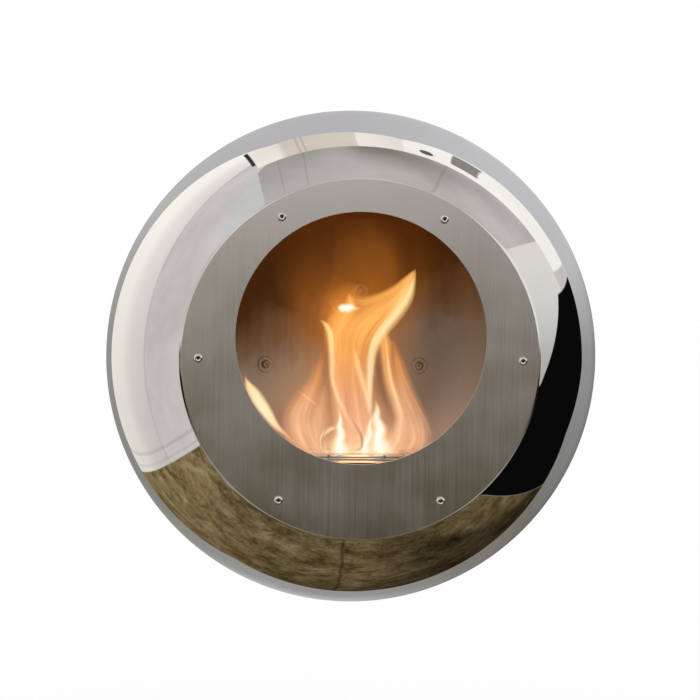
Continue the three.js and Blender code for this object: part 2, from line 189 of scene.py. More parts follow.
class Finish:
    """A new material with one Principled shader, whose sockets take numbers or values."""

    def __init__(self, name):
        if name in bpy.data.materials:
            raise ValueError(f"a material is already named {name}")
        self.material = bpy.data.materials.new(name)
        self.material.use_nodes = True
        self.tree = self.material.node_tree
        self.shader = self.tree.nodes["Principled BSDF"]

    def coords(self, output="Object"):
        made = self.tree.nodes.new("ShaderNodeTexCoord")
        return Value(self.tree, made.outputs[output])

    def attribute(self, name):
        made = self.tree.nodes.new("ShaderNodeAttribute")
        made.attribute_name = name
        return Value(self.tree, made.outputs["Fac"])

    def set(self, **sockets):
        for key, value in sockets.items():
            socket = self.shader.inputs[key.replace("_", " ")]
            if isinstance(value, Value):
                self.tree.links.new(value.socket, socket)
            else:
                socket.default_value = value
        return self.material


# ---------------------------------------------------------------- finishes


def times(color, factor):
    return [c * factor for c in color]


def mirror_steel(color):
    """Spun and mirror-polished stainless steel, with faint polishing rings and a slow waviness."""
    finish = Finish("mirror_steel")
    place = finish.coords()
    x, _, z = place.parts()
    radius = (x * x + z * z) ** 0.5
    haze = place.noise(9.0, detail=5.0, roughness=0.6)
    rings = radius.math("SINE", radius * 1500.0 + place.noise(14.0) * 3.0)
    smears = place.scaled(1.0, 1.0, 3.0).noise(26.0, detail=6.0, roughness=0.65, distortion=0.8)
    tone = (haze * 0.7 + smears * 0.3).clamped()
    base = tone.ramp((0.3, times(color, 0.95)), (0.7, color))
    rough = haze.rises(0.4, 0.8) * 0.02 + smears.rises(0.55, 0.85) * 0.02 + rings * 0.001 + 0.006
    wave = place.noise(5.0, detail=1.0)
    return finish.set(Base_Color=base, Metallic=1.0, Roughness=rough, Normal=wave.bumped(0.05, 0.004))


def brushed_steel(name, color, along, roughness):
    """Steel brushed along one axis: long fine scratches, with a little blotching."""
    finish = Finish(name)
    place = finish.coords()
    fine_scale, coarse_scale = [700.0] * 3, [150.0] * 3
    fine_scale[along], coarse_scale[along] = 9.0, 3.5
    fine = place.scaled(*fine_scale).noise(1.0, detail=4.0, roughness=0.7)
    coarse = place.scaled(*coarse_scale).noise(1.0, detail=3.0, roughness=0.6)
    blotch = place.noise(11.0, detail=4.0, roughness=0.55)
    lines = fine * 0.87 + coarse * 0.13
    tone = (lines * 0.45 + blotch * 0.55).clamped()
    base = tone.ramp((0.32, times(color, 0.93)), (0.5, color), (0.72, times(color, 1.05)))
    rough = lines * 0.16 + blotch.rises(0.35, 0.7) * 0.06 + (roughness - 0.1)
    return finish.set(Base_Color=base, Metallic=1.0, Roughness=rough, Normal=lines.bumped(0.07, 0.0003))


def heat_tinted_steel(cool, warm, brown, low, high):
    """The firebox's own steel: cool up to the height low, browned by heat from the height high on."""
    finish = Finish("heat_tinted_steel")
    place = finish.coords()
    x, _, z = place.parts()
    runs = place.scaled(34.0, 34.0, 2.2).noise(1.0, detail=5.0, roughness=0.62, distortion=0.3)
    cloud = place.noise(7.0, detail=4.0, roughness=0.6, distortion=0.6)
    height = (z - low) / (high - low)
    heat = height + (cloud - 0.5) * 0.60 + (runs - 0.5) * 0.36 - x * 1.8
    # painted shade: the steel darkens towards the firebox's upper rim
    painted_shade = ((x * x + z * z) ** 0.5).rises(0.115, 0.185) * 0.18 * z.rises(-0.12, 0.0)
    tint = ((0.0, cool), (0.38, cool), (0.62, warm), (0.85, brown), (1.0, times(brown, 0.9)))
    base = heat.clamped().ramp(*tint).shaded(1 - painted_shade)
    grain = place.scaled(420.0, 420.0, 12.0).noise(1.0, detail=3.0)
    rough = runs * 0.14 + cloud * 0.10 + grain * 0.08 + 0.26
    relief = (grain * 0.4 + runs * 0.6).bumped(0.22, 0.0006)
    return finish.set(Base_Color=base, Metallic=0.92, Roughness=rough, Normal=relief)


def shade_and_tarnish_steel(name, color):
    """Rough dark steel: in the screws' sockets its darkness is painted shade, on the firebox bolts it is
    tarnish.
    """
    finish = Finish(name)
    place = finish.coords()
    scale = place.noise(240.0, detail=5.0, roughness=0.65)
    base = scale.ramp((0.3, times(color, 0.6)), (0.7, times(color, 1.4)))
    rough = scale * 0.25 + 0.40
    return finish.set(Base_Color=base, Metallic=0.7, Roughness=rough, Normal=scale.bumped(0.2, 0.0003))


def galvanised_steel(color):
    """Zinc-coated sheet with its crystal spangle."""
    finish = Finish("galvanised_steel")
    place = finish.coords()
    cells = place.node("ShaderNodeTexVoronoi", {"Vector": place, "Scale": 95.0}, output=1)
    shade = cells.parts()[0]
    dust = place.noise(60.0, detail=5.0)
    tone = (shade * 0.6 + dust * 0.4).clamped()
    base = tone.ramp((0.15, times(color, 0.78)), (0.85, times(color, 1.1)))
    rough = shade * 0.16 + dust * 0.1 + 0.28
    return finish.set(Base_Color=base, Metallic=1.0, Roughness=rough, Normal=dust.bumped(0.1, 0.0004))


def powder_coat(color):
    """Matt black powder coat with its fine orange-peel grain and rubbed spots."""
    finish = Finish("powder_coat")
    place = finish.coords()
    peel = place.noise(900.0, detail=2.0)
    wear = place.noise(30.0, detail=6.0, roughness=0.7)
    base = wear.ramp((0.35, color), (0.75, [c * 1.9 + 0.01 for c in color]))
    rough = peel * 0.15 + wear * 0.12 + 0.42
    return finish.set(Base_Color=base, Roughness=rough, Normal=peel.bumped(0.35, 0.0003))


def tufted_fibre(color):
    """The burner's soft white fibre, yellowed and charred where the fuel burns off it."""
    finish = Finish("tufted_fibre")
    place = finish.coords()
    strands = place.scaled(900.0, 160.0, 300.0).noise(1.0, detail=5.0, roughness=0.7, distortion=1.2)
    stain = place.noise(38.0, detail=4.0)
    tone = (strands * 0.45 + stain * 0.55).clamped()
    scorched = [c * f for c, f in zip(color, (0.45, 0.38, 0.28))]
    base = tone.ramp((0.3, scorched), (0.46, times(color, 0.85)), (0.8, color))
    return finish.set(Base_Color=base, Roughness=strands * 0.1 + 0.88, Normal=strands.bumped(0.7, 0.0012))


def black_rubber(color):
    """Moulded rubber, a little dusty."""
    finish = Finish("black_rubber")
    place = finish.coords()
    dust = place.noise(140.0, detail=5.0, roughness=0.7)
    base = dust.ramp((0.4, color), (0.8, [c * 2.2 + 0.01 for c in color]))
    return finish.set(Base_Color=base, Roughness=dust * 0.2 + 0.68, Normal=dust.bumped(0.25, 0.0004))


def flame_glow(strength, upper, lower):
    """A sheet of flame, also of the painted firelight and reflection on the wall, whose warmth and cover
    attributes say how hot and how thick it is at each point.

    The colours for its warmth change from the lower set to the upper one as the flame rises.
    """
    finish = Finish("flame")
    place = finish.coords("UV")
    heat = finish.attribute("warmth")
    cover = finish.attribute("cover")
    lick = place.scaled(1.7, 0.8, 1.0).noise(2.2, detail=2.0, roughness=0.5, distortion=0.5)
    thread = place.scaled(9.0, 1.1, 1.0).noise(1.3, detail=2.0, roughness=0.55, distortion=0.35)
    streak = (thread - 0.5) * heat.rises(0.08, 0.45)
    hotter = (heat + (lick - 0.5) * 0.22 + streak * 0.42).clamped()
    thicker = (cover * (lick * 0.6 + streak * 0.55 + 0.715)).clamped()
    height = finish.coords().parts()[2]
    places = (0.0, 0.18, 0.38, 0.6, 0.82, 1.0)
    upper_glow, lower_glow = (hotter.ramp(*zip(places, colors)) for colors in (upper, lower))
    glow = height.rises(-0.085, 0.03).mix(lower_glow, upper_glow)
    finish.material.surface_render_method = "BLENDED"
    finish.material.cycles.emission_sampling = "NONE"
    return finish.set(
        Base_Color=(0.0, 0.0, 0.0, 1.0),
        Roughness=1.0,
        Specular_IOR_Level=0.0,
        Emission_Color=glow,
        Emission_Strength=strength,
        Alpha=thicker,
    )


def finish_named(name):
    """The finish of that name, which the operator for the finishes has made."""
    return bpy.data.materials[name]


# ---------------------------------------------------------------- mesh making


def add_piece(bm, name, finishes, body, nodes=(), crease=35):
    """Turns a bmesh into a piece that rides on a body and stands for those CAD nodes."""
    mesh = bpy.data.meshes.new(name)
    bm.to_mesh(mesh)
    bm.free()
    for finish in finishes:
        mesh.materials.append(finish_named(finish))
    mesh.shade_smooth()
    mesh.set_sharp_from_angle(angle=math.radians(crease))
    piece = bpy.data.objects.new(name, mesh)
    bpy.context.collection.objects.link(piece)
    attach(piece, body)
    if nodes:
        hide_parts(*nodes)
    return piece


def point_faces_out(bm):
    bmesh.ops.recalc_face_normals(bm, faces=bm.faces)


def spin_profile(bm, profile, axis="Y", centre=(0.0, 0.0, 0.0), steps=ROUND_STEPS, closed=False):
    """Turns a profile of (radius, place along the axis) once round that axis."""
    centre = Vector(centre)
    along = Vector((0, 1, 0)) if axis == "Y" else Vector((0, 0, 1))
    corners = [bm.verts.new(centre + Vector((radius, 0, 0)) + along * place) for radius, place in profile]
    pairs = list(zip(corners, corners[1:]))
    if closed:
        pairs.append((corners[-1], corners[0]))
    edges = [bm.edges.new(pair) for pair in pairs]
    drawn = corners + edges
    bmesh.ops.spin(bm, geom=drawn, cent=centre, axis=along, angle=math.tau, steps=steps, use_merge=True)
    bmesh.ops.remove_doubles(bm, verts=bm.verts, dist=1e-6)
    point_faces_out(bm)


def shift_hole(bm, radius, rise):
    """Moves the rims of a hole that was turned on the axis up by rise, so that it lies off-centre."""
    hole = [v for v in bm.verts if abs(math.hypot(v.co.x, v.co.z) - radius) < MM]
    bmesh.ops.translate(bm, verts=hole, vec=(0, 0, rise))


def circle_of(bm, radius, height, sides=SMALL_ROUND_STEPS):
    """The edges of a new circle about Z at that height."""
    place = Matrix.Translation((0, 0, height))
    made = bmesh.ops.create_circle(bm, cap_ends=False, segments=sides, radius=radius, matrix=place)
    return list({edge for vert in made["verts"] for edge in vert.link_edges})


def polygon_of(bm, radius, height, sides, per_side):
    """The edges of a new polygon about Z, each of its sides cut into so many edges."""
    edges = circle_of(bm, radius, height, sides)
    others = set(bm.edges) - set(edges)
    bmesh.ops.subdivide_edges(bm, edges=edges, cuts=per_side - 1)
    return [edge for edge in bm.edges if edge not in others]


def bridge(bm, first, second):
    """Joins two loops about Z, held apart while they are joined, because they may lie in one plane."""
    moved = list({vert for edge in second for vert in edge.verts})
    bmesh.ops.translate(bm, verts=moved, vec=(0, 0, 1))
    bmesh.ops.bridge_loops(bm, edges=first + second)
    bmesh.ops.translate(bm, verts=moved, vec=(0, 0, -1))


def bevel_edges(bm, edges, width, segments=2):
    shape = {"affect": "EDGES", "profile": 0.5, "material": -1, "clamp_overlap": True}
    bmesh.ops.bevel(bm, geom=edges, offset=width, offset_type="OFFSET", segments=segments, **shape)


def dome_points(radius, depth, end, steps=56):
    """(radius, distance from the equator) points along a dome, from its equator to that distance."""
    last = math.asin(end / depth)
    angles = [last * i / steps for i in range(steps + 1)]
    return [(radius * math.cos(angle), depth * math.sin(angle)) for angle in angles]


def round_corner(before, corner, after, reach, steps=6):
    """Points along a bend that takes a profile's corner, reaching so far along both its sides.

    A point more on each side keeps the shading of the flat beside the bend flat.
    """
    before, corner, after = Vector(before), Vector(corner), Vector(after)
    start = corner + (before - corner).normalized() * reach
    end = corner + (after - corner).normalized() * reach
    points = [start + (start - corner) * 0.5]
    for i in range(steps + 1):
        t = i / steps
        points.append(start * (1 - t) ** 2 + corner * (2 * t * (1 - t)) + end * t**2)
    points.append(end + (end - corner) * 0.5)
    return [tuple(point) for point in points]


def dome_to_flat(radius, depth, end, flat_end, reach):
    """A dome's profile, a bend, and the flat that goes on from it to a radius of flat_end."""
    dome = dome_points(radius, depth, end)
    corner = dome[-1]
    kept = [point for point in dome if corner[0] + reach * 1.6 < point[0]]
    return kept + round_corner(kept[-1], corner, (flat_end, end), reach) + [(flat_end, end)]


def softened_copy(node, finish, body, bevel=0.0004):
    """A copy of a CAD node with its edges rounded, which takes the node's place."""
    bm = bmesh.new()
    bm.from_mesh(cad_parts[node].data)
    bmesh.ops.remove_doubles(bm, verts=bm.verts, dist=1e-5)
    bmesh.ops.dissolve_limit(bm, angle_limit=math.radians(1), verts=bm.verts, edges=bm.edges)
    sharp = [e for e in bm.edges if len(e.link_faces) == 2 and e.calc_face_angle(0.0) > SHARP_ANGLE]
    bevel_edges(bm, sharp, bevel)
    return add_piece(bm, f"{node}_rounded", [finish], body, [node], crease=30)


# ---------------------------------------------------------------- settings


def amount(name, default, description, **more):
    return bpy.props.FloatProperty(name=name, description=description, default=default, min=0.0, **more)


def length(name, default, description):
    return amount(name, default, description, unit="LENGTH", precision=4)


def height(name, default, description):
    return bpy.props.FloatProperty(name=name, description=description, default=default, unit="LENGTH")


def color(name, default, description):
    shown = {"min": 0.0, "max": 1.0, "size": 3, "subtype": "COLOR"}
    return bpy.props.FloatVectorProperty(name=name, description=description, default=default, **shown)


FRONT_LOW, FRONT_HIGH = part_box("front_shell")
REAR_LOW, REAR_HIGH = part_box("rear_shell")
FASCIA_LOW, FASCIA_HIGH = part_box("fascia_plate")


class BodySettings(bpy.types.PropertyGroup):
    radius: length("Radius", FRONT_HIGH.x, "Radius of the body at its widest")
    front_dome: length("Front dome", 0.150, "Depth of the full front dome")
    rear_dome: length("Rear dome", 0.150, "Depth of the full rear dome")
    wall: length("Wall", 0.002, "Thickness of the shells")
    mouth_ledge: length("Mouth ledge", 0.006, "How far the shell's hole is wider than the mouth")
    edge_bend: length("Front bend", 0.003, "Bend between the front dome and its flat")
    back_bend: length("Back bend", 0.030, "Bend between the rear dome and its flat")
    steel: color("Steel", (0.88, 0.875, 0.865), "Polished steel")


class FasciaSettings(bpy.types.PropertyGroup):
    mouth_radius: length("Mouth radius", 0.149, "Radius of the fire mouth")
    mouth_rise: length("Mouth rise", 0.025, "How far the mouth's centre lies above the ring's")
    edge: length("Edge rounding", 0.00025, "Rounding of the ring's edges")
    head_radius: length("Screw head radius", 0.00525, "Radius of the button heads")
    head_height: length("Screw head height", 0.0033, "Height of the button heads")
    socket: length("Socket width", 0.004, "Across the flats of the hex sockets")
    socket_depth: length("Socket depth", 0.0019, "Depth of the hex sockets")
    steel: color("Brushed steel", (0.65, 0.63, 0.606), "Brushed steel of the ring")


class FireboxSettings(bpy.types.PropertyGroup):
    cool: color("Cool steel", (0.43, 0.375, 0.335), "Steel near the burner")
    warm: color("Warm steel", (0.30, 0.19, 0.11), "Steel above the flame")
    brown: color("Browned steel", (0.15, 0.068, 0.022), "Steel at the top of the firebox")
    cool_height: height("Cool height", -0.065, "Height up to which the firebox stays cool")
    brown_height: height("Brown height", 0.11, "Height from which the firebox is browned")
    # painted shade: the dark colour inside the screws' sockets
    painted_shade: color("Socket shade", (0.060, 0.045, 0.036), "Insides of the screws' sockets")
    tarnish: color("Tarnished steel", (0.33, 0.27, 0.225), "Bolts in the firebox")
    fibre: color("Ceramic fibre", (0.86, 0.83, 0.77), "Fibre in the burner")


class FlameSettings(bpy.types.PropertyGroup):
    strength: amount("Strength", 1.15, "Brightness of the flame's sheets")
    glow: amount("Glow", 0.22, "Power of the lamps that stand for the flame's light", unit="POWER")
    light: color("Light", (1.0, 0.55, 0.22), "Colour of the flame's light")


class HangingSettings(bpy.types.PropertyGroup):
    zinc: color("Zinc", (0.66, 0.67, 0.69), "Galvanised sheet and fasteners")
    paint: color("Paint", (0.030, 0.030, 0.031), "Powder coat of the bracket")
    rubber: color("Rubber", (0.022, 0.022, 0.022), "Bumpers")


class StageSettings(bpy.types.PropertyGroup):
    floor_drop: length("Floor drop", 0.62, "How far the floor lies below the body's axis")
    floor: color("Floor", (1.0, 1.0, 1.0), "Pale floor")
    plain: amount("Plain light", 1.0, "Level of the light from all round")


SETTINGS = {
    "fireplace_body": BodySettings,
    "fireplace_fascia": FasciaSettings,
    "fireplace_firebox": FireboxSettings,
    "fireplace_flame": FlameSettings,
    "fireplace_hanging": HangingSettings,
    "fireplace_stage": StageSettings,
}


# ---------------------------------------------------------------- finishes and body


FLAME_COLORS = (
    (0.10, 0.035, 0.010),
    (0.55, 0.17, 0.020),
    (0.93, 0.34, 0.060),
    (1.0, 0.50, 0.135),
    (1.0, 0.74, 0.34),
    (1.0, 0.96, 0.82),
)
FLAME_FOOT_COLORS = (
    (0.14, 0.055, 0.025),
    (0.58, 0.24, 0.115),
    (0.84, 0.40, 0.215),
    (0.96, 0.56, 0.32),
    (1.0, 0.78, 0.46),
    (1.0, 0.95, 0.78),
)


class FIREPLACE_OT_finishes(bpy.types.Operator):
    """Makes the fireplace's finishes"""

    bl_idname = "fireplace.finishes"
    bl_label = "Finishes"

    def execute(self, context):
        scene = context.scene
        fascia, box, hanging = scene.fireplace_fascia, scene.fireplace_firebox, scene.fireplace_hanging
        mirror_steel(scene.fireplace_body.steel)
        brushed_steel("ring_steel", fascia.steel, along=2, roughness=0.185)
        brushed_steel("burner_steel", times(fascia.steel, 0.85), along=0, roughness=0.3)
        brushed_steel("plain_steel", times(fascia.steel, 0.8), along=1, roughness=0.4)
        heat_tinted_steel(box.cool, box.warm, box.brown, box.cool_height, box.brown_height)
        # the sockets' dark finish is painted shade; the bolts' tarnish below is their own colour
        shade_and_tarnish_steel("shade_and_tarnish_steel", box.painted_shade)
        shade_and_tarnish_steel("tarnished_steel", box.tarnish)
        galvanised_steel(hanging.zinc)
        powder_coat(hanging.paint)
        black_rubber(hanging.rubber)
        tufted_fibre(box.fibre)
        flame_glow(scene.fireplace_flame.strength, FLAME_COLORS, FLAME_FOOT_COLORS)
        return {"FINISHED"}


def paint_inside(bm, centre):
    """Gives the faces that look towards the body's middle the second finish."""
    for face in bm.faces:
        outwards = face.calc_center_median() - centre
        face.material_index = 0 if face.normal.dot(outwards) > 0 else 1


class FIREPLACE_OT_shells(bpy.types.Operator):
    """Makes the two polished halves of the body"""

    bl_idname = "fireplace.shells"
    bl_label = "Body shells"

    def execute(self, context):
        body, fascia = context.scene.fireplace_body, context.scene.fireplace_fascia
        hole = fascia.mouth_radius + body.mouth_ledge
        front = FRONT_HIGH.y - FRONT_LOW.y
        rear = REAR_HIGH.y - REAR_LOW.y
        bm = self.half(body.radius, body.front_dome, front, hole, body.wall, body.edge_bend, -1)
        shift_hole(bm, hole, fascia.mouth_rise)
        self.add_half(bm, "front_half", ["front_shell"])
        bm = self.half(body.radius, body.rear_dome, rear, 0.0, body.wall, body.back_bend, 1)
        self.add_half(bm, "rear_half", ["rear_shell", "back_plate"])
        self.add_seam_band()
        return {"FINISHED"}

    def half(self, radius, depth, end, flat_end, wall, bend, side):
        """One half of the body, from its equator to its flat, with side -1 for the front."""
        outer = dome_to_flat(radius, depth, end, flat_end, bend)
        inner = dome_to_flat(radius - wall, depth - wall, end - wall, flat_end, bend)
        profile = [(r, FRONT_HIGH.y + side * away) for r, away in outer + inner[::-1]]
        if flat_end == 0:  # both ends of the profile lie on the axis, so it starts and ends there
            profile = profile[len(outer) :] + profile[: len(outer)]
        bm = bmesh.new()
        spin_profile(bm, profile, closed=flat_end > 0)
        return bm

    def add_half(self, bm, name, nodes):
        point_faces_out(bm)
        paint_inside(bm, Vector((0, FRONT_HIGH.y, 0)))
        add_piece(bm, name, ["mirror_steel", "heat_tinted_steel"], BODY, nodes)

    def add_seam_band(self):
        low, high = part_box("seam_band")
        bm = bmesh.new()
        outside, inside = high.x, high.x - 0.0015
        profile = [(inside, low.y), (outside, low.y), (outside, high.y), (inside, high.y)]
        spin_profile(bm, profile, closed=True)
        add_piece(bm, "seam_band_turned", ["heat_tinted_steel"], BODY, ["seam_band"])


class FIREPLACE_OT_fascia(bpy.types.Operator):
    """Makes the brushed ring round the fire mouth"""

    bl_idname = "fireplace.fascia"
    bl_label = "Brushed ring"

    def execute(self, context):
        fascia = context.scene.fireplace_fascia
        front, back, edge = FASCIA_LOW.y, FASCIA_HIGH.y, fascia.edge
        outer, mouth = FASCIA_HIGH.x, fascia.mouth_radius
        corners = ((mouth, front), (outer, front), (outer, back), (mouth, back))
        profile = []
        for i, corner in enumerate(corners):
            profile += round_corner(corners[i - 1], corner, corners[(i + 1) % 4], edge, steps=3)
        bm = bmesh.new()
        spin_profile(bm, profile, closed=True)
        shift_hole(bm, mouth, fascia.mouth_rise)
        point_faces_out(bm)
        add_piece(bm, "brushed_ring", ["ring_steel"], BODY, ["fascia_plate"])
        return {"FINISHED"}


# ---------------------------------------------------------------- fasteners


def socket_screw(shank_length, shank_radius, fascia):
    """A button-head hex socket screw with its seat at z = 0 and its head towards +Z."""
    head, rise = fascia.head_radius, fascia.head_height
    crown = head * 0.56
    skirt = rise * 0.16
    arc = [math.radians(angle) for angle in (8, 24, 40, 56, 72, 86)]
    curve = [(crown + (head - crown) * math.cos(a), skirt + (rise - skirt) * math.sin(a)) for a in arc]
    tip = -shank_length
    profile = [(0.0, tip), (shank_radius * 0.8, tip), (shank_radius, tip + 0.0006), (shank_radius, 0.0)]
    profile += [(head - 0.0001, 0.0), (head, 0.0001), *curve, (crown, rise)]
    bm = bmesh.new()
    spin_profile(bm, profile, axis="Z", steps=SMALL_ROUND_STEPS)
    rim = [edge for edge in bm.edges if edge.is_boundary]
    corner = fascia.socket / math.sqrt(3)
    upper = polygon_of(bm, corner, rise - 0.0002, 6, 8)
    lower = polygon_of(bm, corner, rise - fascia.socket_depth, 6, 8)
    bridge(bm, rim, upper)
    outside = set(bm.faces)
    bridge(bm, upper, lower)
    bmesh.ops.contextual_create(bm, geom=[edge for edge in bm.edges if edge.is_boundary])
    for face in set(bm.faces) - outside:
        face.material_index = 1
    point_faces_out(bm)
    return bm


def hex_nut(width, height, bore):
    """A chamfered hexagon nut from z = 0 up."""
    chamfer = height * 0.14
    corner = width / math.sqrt(3)
    bm = bmesh.new()
    loops = (
        circle_of(bm, bore, 0.0),
        circle_of(bm, width * 0.48, 0.0),
        polygon_of(bm, corner, chamfer, 6, 8),
        polygon_of(bm, corner, height - chamfer, 6, 8),
        circle_of(bm, width * 0.48, height),
        circle_of(bm, bore, height),
    )
    for i in range(6):
        bridge(bm, loops[i - 1], loops[i])
    point_faces_out(bm)
    return bm


def collar(outer, inner, height, rounding):
    """A round collar about Z from z = 0 up, such as a washer or a spacer."""
    bm = bmesh.new()
    r = min(rounding, height * 0.4)
    profile = [(inner, 0.0), (outer - r, 0.0), (outer, r)]
    profile += [(outer, height - r), (outer - r, height), (inner, height)]
    spin_profile(bm, profile, axis="Z", steps=SMALL_ROUND_STEPS, closed=True)
    return bm


TOWARDS = {
    "-Y": Matrix.Rotation(math.radians(90), 4, "X"),
    "+Y": Matrix.Rotation(math.radians(-90), 4, "X"),
    "+Z": Matrix.Identity(4),
}


def put(bm, place, direction):
    bmesh.ops.transform(bm, matrix=Matrix.Translation(place) @ TOWARDS[direction], verts=bm.verts)
    return bm


SHANK_RADIUS = 0.0027
NUT_BORE = SHANK_RADIUS + 0.0003
COLLAR_BORE = SHANK_RADIUS + 0.0006


class FIREPLACE_OT_fasteners(bpy.types.Operator):
    """Makes the screws, bolts, nuts, washers and spacers"""

    bl_idname = "fireplace.fasteners"
    bl_label = "Fasteners"

    def execute(self, context):
        fascia = context.scene.fireplace_fascia
        for n in range(1, 7):
            self.screw_along_y(f"fascia_screw_{n}", "mirror_steel", "polished_steel", fascia)
            self.nut_along_y(f"fascia_weld_nut_{n}")
        for n, washer in ((1, "heat_tinted_steel"), (2, "heat_tinted_steel"), (3, "tarnished_steel")):
            self.screw_along_y(f"back_bolt_{n}", "tarnished_steel", "tinted_steel", fascia)
            self.nut_along_y(f"back_nut_{n}")
            self.collar_along_y(f"back_washer_{n}", washer, "tinted_steel")
            self.collar_along_y(f"back_spacer_{n}", "galvanised_steel", "zinc_steel")
        for side in SIDES:
            for n in (1, 2):
                self.screw_upright(f"deck_screw_{side}_{n}", fascia)
        return {"FINISHED"}

    def screw_along_y(self, node, finish, slot, fascia):
        low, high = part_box(node)
        seat = low.y + fascia.head_height
        bm = socket_screw(high.y - seat, SHANK_RADIUS, fascia)
        centre = middle(node)
        put(bm, (centre.x, seat, centre.z), "-Y")
        # the mirror screws' sockets get the dark finish: painted shade in the recess
        socket = "shade_and_tarnish_steel" if finish == "mirror_steel" else finish
        add_piece(bm, f"{node}_turned", [finish, socket], BODY, [node])

    def screw_upright(self, node, fascia):
        low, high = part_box(node)
        seat = high.z - fascia.head_height
        bm = socket_screw(seat - low.z, SHANK_RADIUS, fascia)
        centre = middle(node)
        put(bm, (centre.x, centre.y, seat), "+Z")
        # the socket's dark finish is painted shade in the recess
        add_piece(bm, f"{node}_turned", ["heat_tinted_steel", "shade_and_tarnish_steel"], BODY, [node])

    def nut_along_y(self, node):
        low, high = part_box(node)
        centre = middle(node)
        bm = hex_nut(high.x - low.x, high.y - low.y, NUT_BORE)
        bmesh.ops.rotate(bm, verts=bm.verts, matrix=Matrix.Rotation(math.radians(30), 3, "Z"))
        put(bm, (centre.x, low.y, centre.z), "+Y")
        add_piece(bm, f"{node}_chamfered", ["galvanised_steel"], BODY, [node], crease=25)

    def collar_along_y(self, node, finish, slot):
        low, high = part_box(node)
        centre = middle(node)
        bm = collar((high.x - low.x) / 2, COLLAR_BORE, high.y - low.y, 0.0004)
        put(bm, (centre.x, low.y, centre.z), "+Y")
        add_piece(bm, f"{node}_turned", [finish], BODY, [node])


# ---------------------------------------------------------------- deck and burner


class FIREPLACE_OT_deck(bpy.types.Operator):
    """Makes the deck, its ledges and the tray under it"""

    bl_idname = "fireplace.deck"
    bl_label = "Deck"

    def execute(self, context):
        softened_copy("deck", "heat_tinted_steel", BODY)
        for side in SIDES:
            softened_copy(f"deck_ledge_{side}", "plain_steel", BODY)
        softened_copy("burner_tray", "galvanised_steel", BODY)
        return {"FINISHED"}


class FIREPLACE_OT_burner(bpy.types.Operator):
    """Makes the burner and its regulator slide"""

    bl_idname = "fireplace.burner"
    bl_label = "Burner"

    def execute(self, context):
        softened_copy("burner_can", "galvanised_steel", BURNER)
        softened_copy("burner_lid", "burner_steel", BURNER)
        softened_copy("regulator_slide", "burner_steel", REGULATOR)
        for side in SIDES:
            softened_copy(f"slide_rail_{side}", "burner_steel", BURNER, bevel=0.0003)
            self.add_stop(f"slide_stop_{side}")
        self.add_fibre()
        return {"FINISHED"}

    def add_stop(self, node):
        low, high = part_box(node)
        centre = middle(node)
        radius, height = (high.x - low.x) / 2, high.z - low.z
        shoulder, edge = height - 0.0006, radius - 0.0006
        profile = [(0.0, 0.0), (radius, 0.0), (radius, shoulder), (edge, height), (0.0, height)]
        bm = bmesh.new()
        spin_profile(bm, profile, axis="Z", steps=32)
        put(bm, (centre.x, centre.y, low.z), "+Z")
        add_piece(bm, f"{node}_turned", ["burner_steel"], BURNER, [node])

    def add_fibre(self):
        """A soft block whose top is tufted and sinks towards its rim."""
        low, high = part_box("burner_wool")
        size, centre = high - low, middle("burner_wool")
        bm = bmesh.new()
        bmesh.ops.create_cube(bm, size=1.0)
        upright = [e for e in bm.edges if abs(e.verts[0].co.z - e.verts[1].co.z) > 0.5]
        bmesh.ops.scale(bm, vec=size, verts=bm.verts)
        bevel_edges(bm, upright, 0.010, segments=4)
        bmesh.ops.translate(bm, vec=centre, verts=bm.verts)
        top = [f for f in bm.faces if f.normal.z > 0.9]
        bmesh.ops.delete(bm, geom=top, context="FACES_ONLY")
        cover = bmesh.ops.create_grid(bm, x_segments=90, y_segments=64, size=0.5)["verts"]
        bmesh.ops.scale(bm, vec=(size.x * 0.96, size.y * 0.96, 1.0), verts=cover)
        bmesh.ops.translate(bm, vec=(centre.x, centre.y, high.z - 0.0012), verts=cover)
        for vert in cover:
            across = 1 - min(1.0, abs(vert.co.x - centre.x) / (size.x * 0.48)) ** 6
            along = 1 - min(1.0, abs(vert.co.y - centre.y) / (size.y * 0.48)) ** 6
            inside = min(across, along)  # 1 over most of the block and 0 at its rim
            tuft = noise.fractal(vert.co * 260.0, 1.0, 2.0, 4)
            vert.co.z += inside * (0.0006 + 0.0010 * tuft) - (1 - inside) * 0.0006
        rims = [e for e in bm.edges if e.is_boundary]
        inner = [e for e in rims if e.verts[0] in set(cover)]
        outer = [e for e in rims if e not in inner]
        bridge(bm, outer, inner)
        point_faces_out(bm)
        nodes, slot = ["burner_wool"], "ceramic_fibre"
        add_piece(bm, "ceramic_fibre_block", ["tufted_fibre"], BURNER, nodes, crease=80)
